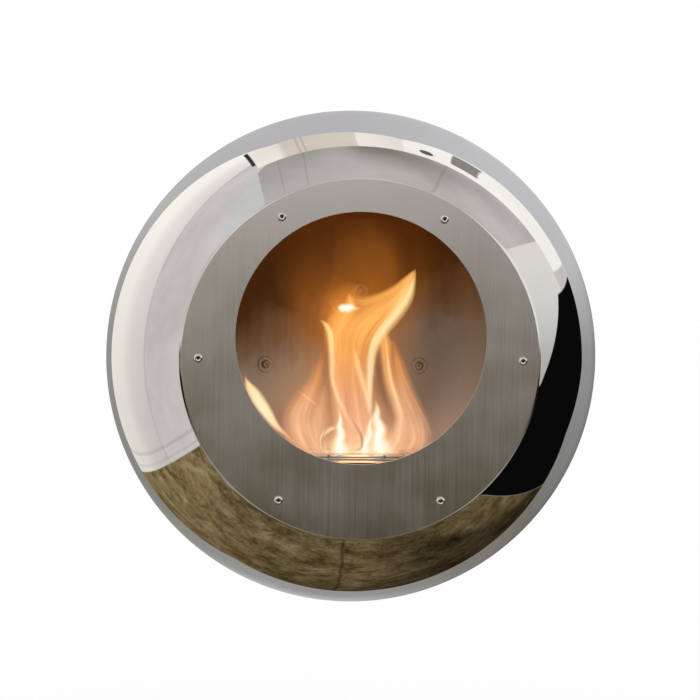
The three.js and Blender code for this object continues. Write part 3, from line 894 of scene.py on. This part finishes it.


# ---------------------------------------------------------------- flame

# Each sheet, of flame and of the painted firelight and reflection on the back wall: how far it lies behind
# the middle of the slot, then points along it, each as (x, z, half width, warmth, cover).
# The lengths are in mm, and a gap is a sheet with next to no warmth.
FLAME_SHEETS = {
    # painted light: an orange pool of firelight on the back wall, not part of the flame
    "painted_wall_glow": (22, (
        (13, -120, 49.5, 0.08, 0.1), (10, -60, 70.1, 0.08, 0.34), (11, 1, 82.5, 0.09, 0.44),
        (9, 55, 96.9, 0.13, 0.62), (10, 96, 107.2, 0.11, 0.56), (10, 133, 99, 0.08, 0.38),
        (9, 169, 78.4, 0.05, 0.08),
    )),
    "glow_left": (16, (
        (-16, 5, 10.3, 0.3, 0.08), (-17, 28, 20.6, 0.34, 0.4), (-14, 48, 27.2, 0.36, 0.55),
        (-5, 69, 24.7, 0.34, 0.5), (6, 88, 16.5, 0.28, 0.1),
    )),
    "ghost_left": (12, (
        (-47, -122, 22.7, 0.5, 0.35), (-59, -100, 25.8, 0.48, 0.82), (-62, -77, 23.7, 0.45, 0.84),
        (-55, -57, 19, 0.42, 0.76), (-46, -36, 12.8, 0.38, 0.58), (-39, -15, 8.2, 0.32, 0.4),
        (-35, 5, 2.1, 0.25, 0.08),
    )),
    "fill_left": (13, (
        (-38, -120, 14.4, 0.52, 0.3), (-40, -97, 16.9, 0.5, 0.62), (-39, -77, 15.3, 0.48, 0.6),
        (-36, -56, 10.7, 0.44, 0.42), (-31, -36, 5.4, 0.4, 0.1),
    )),
    "ghost_right": (14, (
        (71, -121, 24.7, 0.5, 0.4), (81, -101, 24.3, 0.48, 0.74), (77, -76, 21.9, 0.46, 0.7),
        (65, -43, 17.7, 0.42, 0.62), (57, -10, 12.8, 0.38, 0.5), (51, 20, 4.9, 0.3, 0.1),
    )),
    "edge_right": (6, (
        (102, -98, 2.5, 0.36, 0.1), (91, -75, 2.9, 0.36, 0.28), (77, -48, 2.9, 0.36, 0.3),
        (65, -23, 2.9, 0.36, 0.3), (57, 1, 2.5, 0.36, 0.25), (53, 20, 1, 0.4, 0.1),
    )),
    "base_wide": (10, (
        (13, -132, 68, 0.6, 0.4), (13, -119, 78.4, 0.68, 0.95), (13, -103, 78.4, 0.58, 0.78),
        (11, -85, 68, 0.5, 0.52), (10, -64, 55.7, 0.44, 0.22), (9, -44, 43.3, 0.4, 0.02),
    )),
    "veil_main": (0, (
        (16, -122, 30.9, 0.5, 0.3), (14, -101, 30.9, 0.46, 0.7), (11, -77, 28.5, 0.42, 0.74),
        (7, -48, 26.4, 0.4, 0.72), (4, -19, 25.2, 0.42, 0.74), (4, 6, 27.2, 0.45, 0.8),
        (8, 26, 30.9, 0.5, 0.86), (18, 42, 30.9, 0.52, 0.88), (33, 56, 24.3, 0.52, 0.9),
        (50, 69, 17.3, 0.54, 0.9), (64, 84, 11.1, 0.58, 0.85), (73, 99, 5.6, 0.58, 0.7),
        (78, 108, 1.2, 0.5, 0.2),
    )),
    "veil_left": (4, (
        (-4, -120, 16.5, 0.48, 0.3), (-8, -93, 14.4, 0.46, 0.68), (-13, -60, 12.4, 0.46, 0.74),
        (-15, -27, 13.2, 0.46, 0.78), (-15, 1, 15.3, 0.48, 0.82), (-17, 24, 18.1, 0.51, 0.86),
        (-13, 41, 19.4, 0.52, 0.88), (-6, 54, 16.1, 0.54, 0.88), (-2, 65, 8.7, 0.54, 0.85),
        (-4, 76, 1.6, 0.5, 0.3),
    )),
    "line_left": (-6, (
        (-39, 44, 1, 0.6, 0.2), (-32, 38, 4.1, 0.74, 0.8), (-27, 28, 5.8, 0.78, 0.85),
        (-25, 13, 5.4, 0.78, 0.85), (-24, -7, 5.2, 0.75, 0.8), (-23, -28, 4.7, 0.72, 0.75),
        (-18, -46, 4.5, 0.7, 0.7), (-10, -64, 4.5, 0.7, 0.65), (0, -83, 4.1, 0.7, 0.5),
        (8, -97, 2.5, 0.65, 0.2),
    )),
    "streak_right": (-10, (
        (24, -76, 3.7, 0.7, 0.1), (22, -52, 5.4, 0.76, 0.7), (22, -23, 6.6, 0.8, 0.8),
        (24, 2, 7.8, 0.82, 0.84), (30, 21, 9.5, 0.82, 0.86), (41, 38, 10.3, 0.82, 0.86),
        (54, 55, 11.1, 0.82, 0.88), (66, 74, 10.7, 0.8, 0.88), (73, 90, 5.8, 0.74, 0.8),
        (77, 105, 1.6, 0.6, 0.3),
    )),
    "edge_upper": (4, (
        (-3, 71, 6.2, 0.4, 0.1), (13, 67, 8.2, 0.5, 0.5), (33, 72, 7, 0.52, 0.6),
        (52, 82, 6.2, 0.54, 0.66), (67, 95, 4.9, 0.58, 0.66), (76, 105, 2.1, 0.5, 0.3),
    )),
    # partly flame, partly a painted reflection of the flame on the back wall
    "patch": (-4, (
        (-18, 59, 3.3, 0.8, 0.3), (-14, 59, 6.2, 0.98, 1), (-7, 59, 6.6, 1, 1.1),
        (-1, 60, 6.2, 0.97, 1), (4, 59, 4.1, 0.8, 0.6), (11, 59, 2.5, 0.6, 0.1),
    )),
    "wisp_inner": (-14, (
        (2, 15, 0.8, 0.55, 0.1), (4, 3, 4.1, 0.66, 0.6), (7, -12, 5.8, 0.7, 0.66),
        (12, -28, 5.8, 0.7, 0.66), (18, -46, 5.4, 0.72, 0.6), (22, -68, 4.1, 0.75, 0.2),
    )),
    "leg_right": (8, (
        (39, 35, 4.5, 0.45, 0.1), (42, 17, 10.3, 0.52, 0.8), (45, -11, 8.2, 0.5, 0.76),
        (50, -35, 8.2, 0.5, 0.76), (58, -58, 8.7, 0.5, 0.76), (63, -80, 9.9, 0.52, 0.8),
        (60, -101, 14.4, 0.54, 0.82), (48, -122, 19, 0.58, 0.45),
    )),
    "line_leg": (-8, (
        (42, 16, 1, 0.6, 0.1), (45, -6, 2.9, 0.7, 0.65), (49, -31, 3.1, 0.7, 0.7),
        (56, -52, 3.1, 0.7, 0.66), (62, -72, 2.7, 0.66, 0.45), (61, -93, 1.9, 0.6, 0.1),
    )),
    "core_left": (-16, (
        (-16, -65, 0.8, 0.75, 0.1), (-14, -77, 3.3, 0.92, 0.85), (-15, -86, 4.9, 1, 0.95),
        (-13, -95, 7.4, 1, 0.95), (-15, -105, 9.1, 1, 0.95), (-13, -116, 15.3, 1, 0.9),
        (-15, -124, 17.3, 0.85, 0.3),
    )),
    "core_right": (-18, (
        (28, -53, 1.2, 0.75, 0.1), (31, -65, 4.9, 0.9, 0.7), (30, -76, 7.4, 0.97, 0.85),
        (34, -88, 10.3, 1, 0.95), (33, -100, 11.5, 1, 0.95), (36, -113, 17.3, 1, 0.9),
        (35, -124, 20.6, 0.85, 0.3),
    )),
    "core_mid": (-20, (
        (26, -69, 1, 0.7, 0.1), (22, -83, 4.1, 0.9, 0.75), (21, -95, 7, 0.95, 0.85),
        (17, -106, 7.4, 0.97, 0.85), (16, -116, 10.7, 0.97, 0.8), (14, -124, 12.4, 0.85, 0.3),
    )),
    "base_band": (-4, (
        (13, -131, 51.5, 0.6, 0.3), (13, -123, 55.7, 0.66, 0.8), (13, -113, 53.6, 0.62, 0.7),
        (13, -101, 47.4, 0.55, 0.35), (13, -87, 39.2, 0.5, 0.05),
    )),
    "loop_left": (-22, (
        (-25, -123, 6.2, 0.75, 0.3), (-33, -116, 3.5, 0.76, 0.75), (-37, -106, 2.7, 0.74, 0.75),
        (-36, -97, 2.9, 0.74, 0.7), (-27, -89, 3.7, 0.76, 0.6), (-15, -85, 2.9, 0.8, 0.15),
    )),
    "tick_left": (-24, (
        (-66, -43, 0.8, 0.4, 0.1), (-59, -48, 2.3, 0.5, 0.6), (-51, -54, 2.5, 0.5, 0.6),
        (-41, -61, 1.2, 0.4, 0.1),
    )),
    # painted reflection: the flame's gleam on the polished back wall, off to the left of the slot
    "painted_reflection_left": (-2, (
        (-69, -107, 2.1, 0.5, 0.1), (-80, -97, 3.3, 0.6, 0.5), (-92, -86, 5.4, 0.72, 1),
        (-102, -72, 8.2, 0.8, 1.3), (-112, -58, 9.7, 0.82, 1.4), (-120, -46, 8.7, 0.8, 1.3),
        (-126, -37, 5.8, 0.72, 1.1), (-131, -26, 1.2, 0.6, 0.2),
    )),
    "gap_mid": (-26, (
        (-1, -77, 0.8, 0, 0.1), (7, -88, 2.5, 0.03, 0.4), (12, -100, 2.9, 0.03, 0.55),
        (11, -111, 2.9, 0.05, 0.5), (4, -114, 2.1, 0.06, 0.2),
    )),
    "gap_right": (-12, (
        (34, 1, 0.8, 0.02, 0.1), (33, -11, 4.1, 0.02, 0.34), (34, -26, 5.8, 0.02, 0.42),
        (37, -41, 5.4, 0.02, 0.4), (42, -57, 3.7, 0.02, 0.36), (47, -73, 2.1, 0.05, 0.12),
    )),
    "gap_left": (-27, (
        (-31, -88, 0.8, 0.02, 0.1), (-36, -97, 1.4, 0.03, 0.5), (-37, -106, 1.9, 0.03, 0.55),
        (-34, -116, 1.4, 0.03, 0.4), (-29, -120, 0.8, 0.05, 0.1),
    )),
}
FLAME_ROWS = 56
FLAME_COLUMNS = 14
SLOT_SHIFT = 17 * MM  # how far the slot lies behind the middle of the burner
SHEET_WAVE = 7  # how far a sheet waves to and fro, in mm
SHEET_BULGE = 0.45  # how far a sheet's middle lies ahead of its sides, as a share of its half width
WIDEST_BULGE = 24  # the half width, in mm, from which the bulge grows no more
TURN_STEP = 0.05  # how far apart the points are that give a sheet's direction
FLAME_LAMPS = (  # name, x, distance behind the slot, z, share of the glow, size
    ("flame_light_low", 0.012, 0.0, -0.060, 0.9, 0.045),
    ("flame_light_high", 0.005, 0.0, 0.050, 0.7, 0.035),
    ("flame_light_left", -0.050, 0.0, -0.080, 0.10, 0.035),
    ("flame_light_front", 0.005, -0.060, -0.100, 0.4, 0.025),
)


def spline(values, place):
    """A smooth curve through values, at a place from 0 to the last value's index."""
    last = len(values) - 1
    i = min(int(place), last - 1)
    t = place - i
    a, b = values[i], values[i + 1]
    before = values[i - 1] if i > 0 else 2 * a - b
    after = values[i + 2] if i + 2 <= last else 2 * b - a
    bend = (before * 2 - a * 5 + b * 4 - after) * t + (a * 3 - before - b * 3 + after) * t * t
    return a + (b - before + bend) * t / 2


class FIREPLACE_OT_flame(bpy.types.Operator):
    """Makes the flame that rises from the burner's slot, with sheets of painted firelight and reflection on
    the wall behind it
    """

    bl_idname = "fireplace.flame"
    bl_label = "Flame"

    def execute(self, context):
        slot_y = middle("burner_lid").y + SLOT_SHIFT
        for n, (name, (depth, points)) in enumerate(FLAME_SHEETS.items()):
            self.add_sheet(f"flame_{name}", slot_y + depth * MM, points, n)
        self.add_lamps(context.scene.fireplace_flame, slot_y)
        return {"FINISHED"}

    def add_sheet(self, name, y, points, seed):
        columns = list(zip(*points))
        bm = bmesh.new()
        bm.loops.layers.uv.new("UVMap")
        warmth = bm.verts.layers.float.new("warmth")
        cover = bm.verts.layers.float.new("cover")
        segments = {"x_segments": FLAME_COLUMNS, "y_segments": FLAME_ROWS}
        grid = bmesh.ops.create_grid(bm, **segments, size=0.5, calc_uvs=True)["verts"]
        last = len(points) - 1
        for vert in grid:
            across, along = vert.co.x * 2, (vert.co.y + 0.5) * last
            x, z, half, hot, thick = (spline(values, along) for values in columns)
            after, before = min(last, along + TURN_STEP), max(0, along - TURN_STEP)
            ahead_x, ahead_z = (spline(columns[i], after) - spline(columns[i], before) for i in (0, 1))
            side = Vector((ahead_z, 0, -ahead_x)).normalized()
            wave = noise.noise(Vector((z * 0.03, across * 0.6, seed * 3.7))) * SHEET_WAVE
            bulge = (1 - across * across) * min(half, WIDEST_BULGE) * SHEET_BULGE
            vert.co = Vector((x, 0, z)) * MM + side * (half * across * MM)
            vert.co.y = y + (wave - bulge) * MM
            edge = max(0.0, 1 - across * across) ** 1.5
            vert[warmth] = max(0.0, hot * (0.82 + 0.18 * edge))
            vert[cover] = max(0.0, thick) * edge
        piece = add_piece(bm, name, ["flame"], BURNER, crease=180)
        piece.visible_shadow = False
        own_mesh(piece)

    def add_lamps(self, flame, slot_y):
        """Small lamps in the flame, which light the firebox."""
        for name, x, y, z, share, size in FLAME_LAMPS:
            lamp = bpy.data.lights.new(name, "POINT")
            lamp.energy = flame.glow * share
            lamp.color = flame.light
            lamp.shadow_soft_size = size
            holder = bpy.data.objects.new(name, lamp)
            holder.location = (x, slot_y + y, z)
            bpy.context.collection.objects.link(holder)


# ---------------------------------------------------------------- hanging


class FIREPLACE_OT_hanging(bpy.types.Operator):
    """Makes the wall plate, the hanger plate, the heat shield and the bumpers"""

    bl_idname = "fireplace.hanging"
    bl_label = "Wall hanging"

    def execute(self, context):
        softened_copy("wall_plate", "powder_coat", BRACKET, bevel=0.0006)
        softened_copy("hanger_plate", "powder_coat", BODY, bevel=0.0006)
        self.add_shield()
        for side in SIDES:
            self.add_bumper(f"wall_bumper_{side}")
        return {"FINISHED"}

    def add_shield(self):
        low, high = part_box("heat_shield")
        bm = bmesh.new()
        radius, fold = high.x, 0.0004
        profile = [(0.0, low.y), (radius - fold, low.y), (radius, low.y + fold)]
        profile += [(radius, high.y - fold), (radius - fold, high.y), (0.0, high.y)]
        spin_profile(bm, profile, steps=128)
        add_piece(bm, "heat_shield_disc", ["galvanised_steel"], BODY, ["heat_shield"])

    def add_bumper(self, node):
        low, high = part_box(node)
        centre = middle(node)
        radius, edge = (high.x - low.x) / 2, 0.0025
        arc = [math.radians(a) for a in (0, 30, 60, 90)]
        nose = [(radius - edge + edge * math.cos(a), high.y - edge + edge * math.sin(a)) for a in arc]
        waist = low.y + (high.y - low.y) * 0.45
        profile = [(0.0, low.y), (radius, low.y), (radius, low.y + 0.004), (radius * 0.86, low.y + 0.006)]
        profile += [(radius * 0.86, waist), (radius, waist + 0.002), *nose, (0.0, high.y)]
        bm = bmesh.new()
        spin_profile(bm, profile, centre=(centre.x, 0, centre.z), steps=SMALL_ROUND_STEPS)
        add_piece(bm, f"{node}_moulded", ["black_rubber"], BODY, [node])


# ---------------------------------------------------------------- studio

STRIP_EDGE = (-0.04, 0.98, 0.193)
STRIP_END = (0.903, 0.018, 0.429)
SIDE_FOOT = (0.56, 0.0, -0.828)
SOFT = 0.004  # how soft a panel's edge is


class Studio:
    """The panels of light, the ground and the dark flag that polished metal shows, as colours by direction.

    A panel's edge is straight, so it lies in a plane through the body, which is given by its normal.
    """

    def __init__(self, direction):
        self.direction = direction
        self.x, self.y, self.z = direction.parts()
        degrees = 180 / math.pi
        self.turn = self.x.math("ARCTAN2", self.x, -self.y) * degrees  # 0 ahead of the fire, 90 right of it
        self.rise = self.z.math("ARCSINE", self.z) * degrees
        self.cloud = direction.noise(3.0, detail=4.0, roughness=0.6)
        self.fleck = direction.noise(42.0, detail=5.0, roughness=0.7)
        self.above_ground = self.rise.rises(-39.5, -38.5)
        self.overhead = self.rise.rises(27.5, 29.0)

    def past(self, normal, shift=0.0, soft=SOFT):
        """1 on the far side of the plane with that normal, once the plane is moved by shift."""
        return self.direction.dot(normal).rises(shift - soft, shift + soft)

    def seam(self, normal, width, depth, shift=0.0):
        """A thin dark line along that plane, as a factor for the colour there."""
        away = abs(self.direction.dot(normal) - shift)
        return 1 - away.rises(width * 1.6, width * 0.6) * depth

    def ahead(self):
        """What lies in front of the fire, which the brushed ring shows."""
        ahead = ((self.rise + 10) / 20).clamped().ramp(
            (0.0, (0.02, 0.01, 0.0)),
            (0.2, (0.03, 0.012, 0.0)),
            (0.25, (0.14, 0.112, 0.052)),
            (0.3, (0.225, 0.196, 0.125)),
            (0.4, (0.215, 0.193, 0.142)),
            (0.45, (0.195, 0.178, 0.138)),
            (0.5, (0.32, 0.298, 0.265)),
            (0.55, (0.52, 0.495, 0.46)),
            (0.625, (0.81, 0.78, 0.755)),
            (0.775, (1.0, 0.965, 0.95)),
        )
        right, left = self.turn.rises(2.0, 11.0), self.turn.rises(-12.0, -30.0)
        ahead = ahead.shaded(1 - right * 0.14 - left * self.rise.rises(0.0, 6.0) * 0.42)
        return self.rise.rises(-9.0, -30.0).mix(ahead, (0.30, 0.28, 0.25, 1.0))

    def side_panels(self):
        """The two pale panels to the left, with the lines along their edge and foot."""
        near = self.cloud.ramp((0.3, (0.56, 0.525, 0.52)), (0.7, (0.70, 0.665, 0.655)))
        far = ((-self.turn - 79) / 56).clamped().ramp(
            (0.0, (0.72, 0.69, 0.66)),
            (0.25, (0.78, 0.755, 0.72)),
            (0.5, (0.93, 0.90, 0.85)),
            (1.0, (0.95, 0.92, 0.85)),
        )
        far = far.shaded(self.rise.rises(-40.0, 45.0) * 0.30 + 0.84)
        edge = (-0.222, 0.975, -0.013)
        side = self.past(edge).mix(near, far).shaded(self.seam(edge, 0.012, 0.12))
        side = side.shaded(self.seam(SIDE_FOOT, 0.008, 0.16, -0.085))
        return side.shaded(self.seam(SIDE_FOOT, 0.006, 0.12, -0.028))

    def upper_panels(self, side):
        """A beam and a wide lid of jointed panels overhead, beyond the side panels."""
        beam = self.cloud.ramp((0.3, (0.57, 0.57, 0.565)), (0.7, (0.66, 0.66, 0.655)))
        lid = (self.turn / 130 + 0.3).clamped().ramp(
            (0.0, (0.50, 0.470, 0.445)),
            (0.35, (0.61, 0.580, 0.555)),
            (0.65, (0.52, 0.490, 0.450)),
            (0.80, (0.66, 0.635, 0.610)),
            (1.0, (0.74, 0.715, 0.690)),
        )
        lid = lid.shaded(self.cloud.rises(0.2, 0.8) * 0.20 + 0.86)
        near_strip = self.direction.dot(STRIP_EDGE).rises(-0.34, 0.0)
        lid = lid.shaded(1 - near_strip * (self.turn.within(10.0, 72.0, 20.0) * 0.38 + 0.16))
        for normal in ((0.982, -0.019, 0.185), (0.951, -0.052, 0.305), (0.42, 0.0, -0.24)):
            lid = lid.shaded(self.seam(normal, 0.0035, 0.14))
        upper = self.past((0.912, -0.089, 0.402)).mix(beam, lid)
        return self.overhead.mix(side, self.past((0.759, -0.627, 0.173)).mix(side, upper))

    def lit_strip(self):
        """The bright strip over the top of the body, with two joints, a dark patch and a spot."""
        along = self.direction.dot(STRIP_END)
        strip = along.clamped().ramp(
            (0.0, (0.92, 0.87, 0.82)),
            (0.14, (0.90, 0.85, 0.79)),
            (0.17, (0.70, 0.63, 0.55)),
            (0.490, (0.74, 0.67, 0.60)),
            (0.496, (0.95, 0.90, 0.85)),
            (0.668, (0.86, 0.79, 0.73)),
            (0.673, (0.98, 0.95, 0.90)),
            (1.0, (1.0, 0.98, 0.93)),
        )
        strip = strip.shaded(self.cloud.rises(0.3, 0.7) * 0.08 + 1.0)
        for place in (0.236, 0.262):
            strip = strip.shaded(1 - abs(along - place).rises(0.007, 0.002) * 0.22)
        patch = along.within(0.826, 0.897, SOFT) * self.direction.dot(STRIP_EDGE).within(0.065, 0.25, SOFT)
        dark = self.fleck.ramp((0.35, (0.17, 0.16, 0.135)), (0.65, (0.27, 0.255, 0.225)))
        strip = (patch * 0.92).mix(strip, dark)
        spot = self.past((0.399, -0.076, 0.914), 0.9996, 0.00012) * 0.9
        return spot.mix(strip, (0.04, 0.035, 0.03, 1.0))

    def sky(self):
        """All that lies above the ground but the dark flag."""
        over_strip, lit_end = self.past(STRIP_EDGE), self.past(STRIP_END, 0.013)
        sky = self.upper_panels(self.side_panels())
        sky = (over_strip * lit_end * self.rise.rises(20.0, 21.0)).mix(sky, self.lit_strip())
        slit = self.past(STRIP_END, -0.007, 0.003) * (1 - lit_end)
        slit = slit * self.direction.dot(STRIP_EDGE).within(0.07, 0.40, SOFT) * self.rise.rises(57.0, 57.5)
        sky = slit.mix(sky, (0.035, 0.035, 0.028, 1.0))
        right_panel = (self.turn.rises(56.0, 60.0) * (1 - self.past((-0.482, 0.101, 0.87)))).clamped()
        bright = self.rise.rises(-8.0, 26.0).ramp(
            (0.0, (0.46, 0.47, 0.44)), (0.5, (0.68, 0.67, 0.635)), (1.0, (0.80, 0.78, 0.74))
        )
        return (right_panel * self.rise.rises(-12.0, -11.0) * (1 - over_strip)).mix(sky, bright)

    def ground(self):
        """Blotched brown ground, darker to the right, with one crack."""
        x, y = self.x, self.y
        grit = self.direction.noise(7.5, detail=7.0, roughness=0.66, distortion=0.4)
        ground = (grit * 0.68 + self.fleck * 0.32).ramp(
            (0.32, (0.035, 0.023, 0.008)),
            (0.44, (0.115, 0.080, 0.033)),
            (0.54, (0.19, 0.137, 0.066)),
            (0.68, (0.31, 0.245, 0.15)),
        )
        blot = self.direction.noise(10.0, detail=4.0, roughness=0.6, distortion=1.0)
        ground = ground.shaded(1.1 - blot.rises(0.48, 0.64) * 0.40)
        ground = ground.shaded(1.35 - x.rises(-0.80, -0.25) * 0.55)
        shade = x.rises(0.08, 0.48) * (y - x * 1.2).rises(-1.05, -0.80) * 0.66
        ground = ground.shaded(1 - shade).shaded(1 - y.rises(0.05, 0.40) * x.rises(-0.40, -0.10) * 0.5)
        crack = x + (self.cloud - 0.5) * 0.05 - 0.028
        return ground.shaded(1 - abs(crack).rises(0.010, 0.004) * 0.45)

    def around(self):
        """The sky, the ground and the black flag to the right."""
        flag_foot = self.past((0.571, -0.272, 0.775))
        on_left, on_right = 1 - self.turn.rises(-43.0, -37.0), self.turn.rises(43.5, 44.0)
        below = (1 - self.above_ground) * (1 - on_left) * (1 - on_right)
        below = (self.past(SIDE_FOOT) * on_left + below + (1 - flag_foot) * on_right).clamped()
        flag_side = (self.past((0.241, 0.7215, -0.6484)) + (1 - self.rise.rises(-8.5, -7.5))).clamped()
        flag = flag_foot * flag_side * on_right * (1 - self.past((0.20, -0.10, 0.97), 0.45))
        return flag.mix(below.mix(self.sky(), self.ground()), (0.003, 0.003, 0.003, 1.0))

    def back_panel(self):
        """The grey panel behind the body, whose tone changes round it."""
        around = self.z.math("ARCTAN2", self.z, self.x) / math.tau + 0.5  # 0 and 1 left, 0.5 right, 0.75 up
        panel = around.ramp(
            (0.0, (0.320, 0.318, 0.310)),
            (0.11, (0.265, 0.260, 0.250)),
            (0.17, (0.320, 0.310, 0.300)),
            (0.22, (0.445, 0.440, 0.435)),
            (0.28, (0.455, 0.448, 0.438)),
            (0.34, (0.250, 0.235, 0.215)),
            (0.39, (0.170, 0.160, 0.140)),
            (0.45, (0.215, 0.213, 0.210)),
            (0.50, (0.270, 0.270, 0.270)),
            (0.555, (0.565, 0.560, 0.590)),
            (0.64, (0.600, 0.600, 0.620)),
            (0.74, (0.540, 0.530, 0.560)),
            (0.89, (0.520, 0.515, 0.520)),
            (0.95, (0.405, 0.400, 0.390)),
            (1.0, (0.320, 0.318, 0.310)),
        )
        bottom, lower_right = around.within(0.20, 0.32, 0.05), around.within(0.38, 0.52, 0.05)
        inwards = self.y.rises(0.55, 0.95) * (bottom * 0.40 - lower_right * 0.35)
        panel = panel.shaded(inwards + (1 - bottom * 0.25 + lower_right * 0.25))
        return self.y.rises(0.94, 0.995).mix(panel, (0.38, 0.375, 0.375, 1.0))

    def behind(self):
        """1 where the back panel shows, whose edge is bent on the left and has a corner on the right."""
        dot = self.direction.dot
        right_edge = self.x.math("MAXIMUM", dot((-0.272, 0.962, 0.025)), dot((-0.279, 0.929, -0.245)))
        left_edge = dot((0.695, 0.719, 0.0)) + self.z.rises(0.24, 0.95) * 0.117
        edges = left_edge.rises(-SOFT, SOFT) * right_edge.rises(-SOFT, SOFT)
        return edges * self.past((0.151, 0.984, -0.097)) * self.past((-0.045, 0.908, 0.417))

    def color(self):
        """The whole studio. What only the flat ring shows, and not the dome, goes over the rest."""
        shown = self.behind().mix(self.around(), self.back_panel())
        on_ring = self.past((0.1045, -0.9942, 0.0262), 0.559, 0.008)
        return (on_ring * self.above_ground * (1 - self.overhead)).mix(shown, self.ahead())


# ---------------------------------------------------------------- stage

FLOOR_REACH = 40.0


class FIREPLACE_OT_stage(bpy.types.Operator):
    """Makes the floor, the light from all round and the camera"""

    bl_idname = "fireplace.stage"
    bl_label = "Stage"

    def execute(self, context):
        stage = context.scene.fireplace_stage
        self.add_floor(stage)
        self.light_studio(context.scene, stage)
        self.add_camera(context.scene)
        context.scene.view_settings.view_transform = "Standard"
        return {"FINISHED"}

    def add_floor(self, stage):
        finish = Finish("pale_floor")
        speck = finish.coords().noise(3.0, detail=2.0)
        base = speck.ramp((0.3, times(stage.floor, 0.995)), (0.7, stage.floor))
        finish.set(Base_Color=base, Roughness=1.0, Specular_IOR_Level=0.0)
        bm = bmesh.new()
        bmesh.ops.create_grid(bm, x_segments=1, y_segments=1, size=FLOOR_REACH)
        bmesh.ops.translate(bm, vec=(0, 0, -stage.floor_drop), verts=bm.verts)
        mesh = bpy.data.meshes.new("pale_floor")
        bm.to_mesh(mesh)
        bm.free()
        mesh.materials.append(finish.material)
        floor = bpy.data.objects.new("pale_floor", mesh)
        bpy.context.collection.objects.link(floor)
        floor.visible_glossy = False

    def light_studio(self, scene, stage):
        """White for the camera, plain light on the object, and the studio for polished metal to show."""
        world = bpy.data.worlds.new("studio")
        scene.world = world
        world.use_nodes = True
        tree = world.node_tree
        tree.nodes.clear()
        coords = tree.nodes.new("ShaderNodeTexCoord")
        direction = Value(tree, coords.outputs["Generated"])
        rays = tree.nodes.new("ShaderNodeLightPath")
        glossy, seen = (Value(tree, rays.outputs[f"Is {kind} Ray"]) for kind in ("Glossy", "Camera"))
        plain = (stage.plain, stage.plain, stage.plain, 1.0)
        color = seen.mix(glossy.mix(plain, Studio(direction).color()), (1.0, 1.0, 1.0, 1.0))
        glow = direction.node("ShaderNodeBackground", {"Color": color})
        out = tree.nodes.new("ShaderNodeOutputWorld")
        tree.links.new(glow.socket, out.inputs["Surface"])

    def add_camera(self, scene):
        """The photograph's view, from a little to the left of the fire and a little above it.

        Its place and its three axes were fitted to the outlines of the body, the ring and the mouth.
        """
        camera = bpy.data.cameras.new("photo_view")
        camera.sensor_fit = "HORIZONTAL"
        camera.sensor_width = 36.0
        camera.lens = 125.895
        camera.dof.use_dof = False
        right = Vector((0.9952605, -0.09638595, 0.01289545))
        up = Vector((-0.01002172, 0.03023969, 0.99949243))
        back = Vector((-0.09672698, -0.99488457, 0.02913042))
        place = Matrix((right, up, back)).transposed().to_4x4()
        place.translation = (-0.29283334, -3.14827863, 0.09523254)
        holder = bpy.data.objects.new("photo_view", camera)
        holder.matrix_world = place
        bpy.context.collection.objects.link(holder)
        scene.camera = holder


# ---------------------------------------------------------------- panel and registration


STEPS = (
    FIREPLACE_OT_finishes,
    FIREPLACE_OT_shells,
    FIREPLACE_OT_fascia,
    FIREPLACE_OT_fasteners,
    FIREPLACE_OT_deck,
    FIREPLACE_OT_burner,
    FIREPLACE_OT_flame,
    FIREPLACE_OT_hanging,
    FIREPLACE_OT_stage,
)


class FIREPLACE_PT_panel(bpy.types.Panel):
    """Lists the fireplace's settings and the steps that build it"""

    bl_label = "Fireplace"
    bl_idname = "FIREPLACE_PT_panel"
    bl_space_type = "VIEW_3D"
    bl_region_type = "UI"
    bl_category = "Fireplace"

    def draw(self, context):
        for name, group in SETTINGS.items():
            box = self.layout.box()
            for key in group.__annotations__:
                box.prop(getattr(context.scene, name), key)
        for step in STEPS:
            self.layout.operator(step.bl_idname)


def register():
    for group in (*SETTINGS.values(), *STEPS, FIREPLACE_PT_panel):
        bpy.utils.register_class(group)
    for name, group in SETTINGS.items():
        setattr(bpy.types.Scene, name, bpy.props.PointerProperty(type=group))


def unregister():
    for name in SETTINGS:
        delattr(bpy.types.Scene, name)
    for group in reversed((*SETTINGS.values(), *STEPS, FIREPLACE_PT_panel)):
        bpy.utils.unregister_class(group)


def main():
    register()
    for step in STEPS:
        area, name = step.bl_idname.split(".")
        getattr(getattr(bpy.ops, area), name)()


if __name__ == "__main__":
    main()
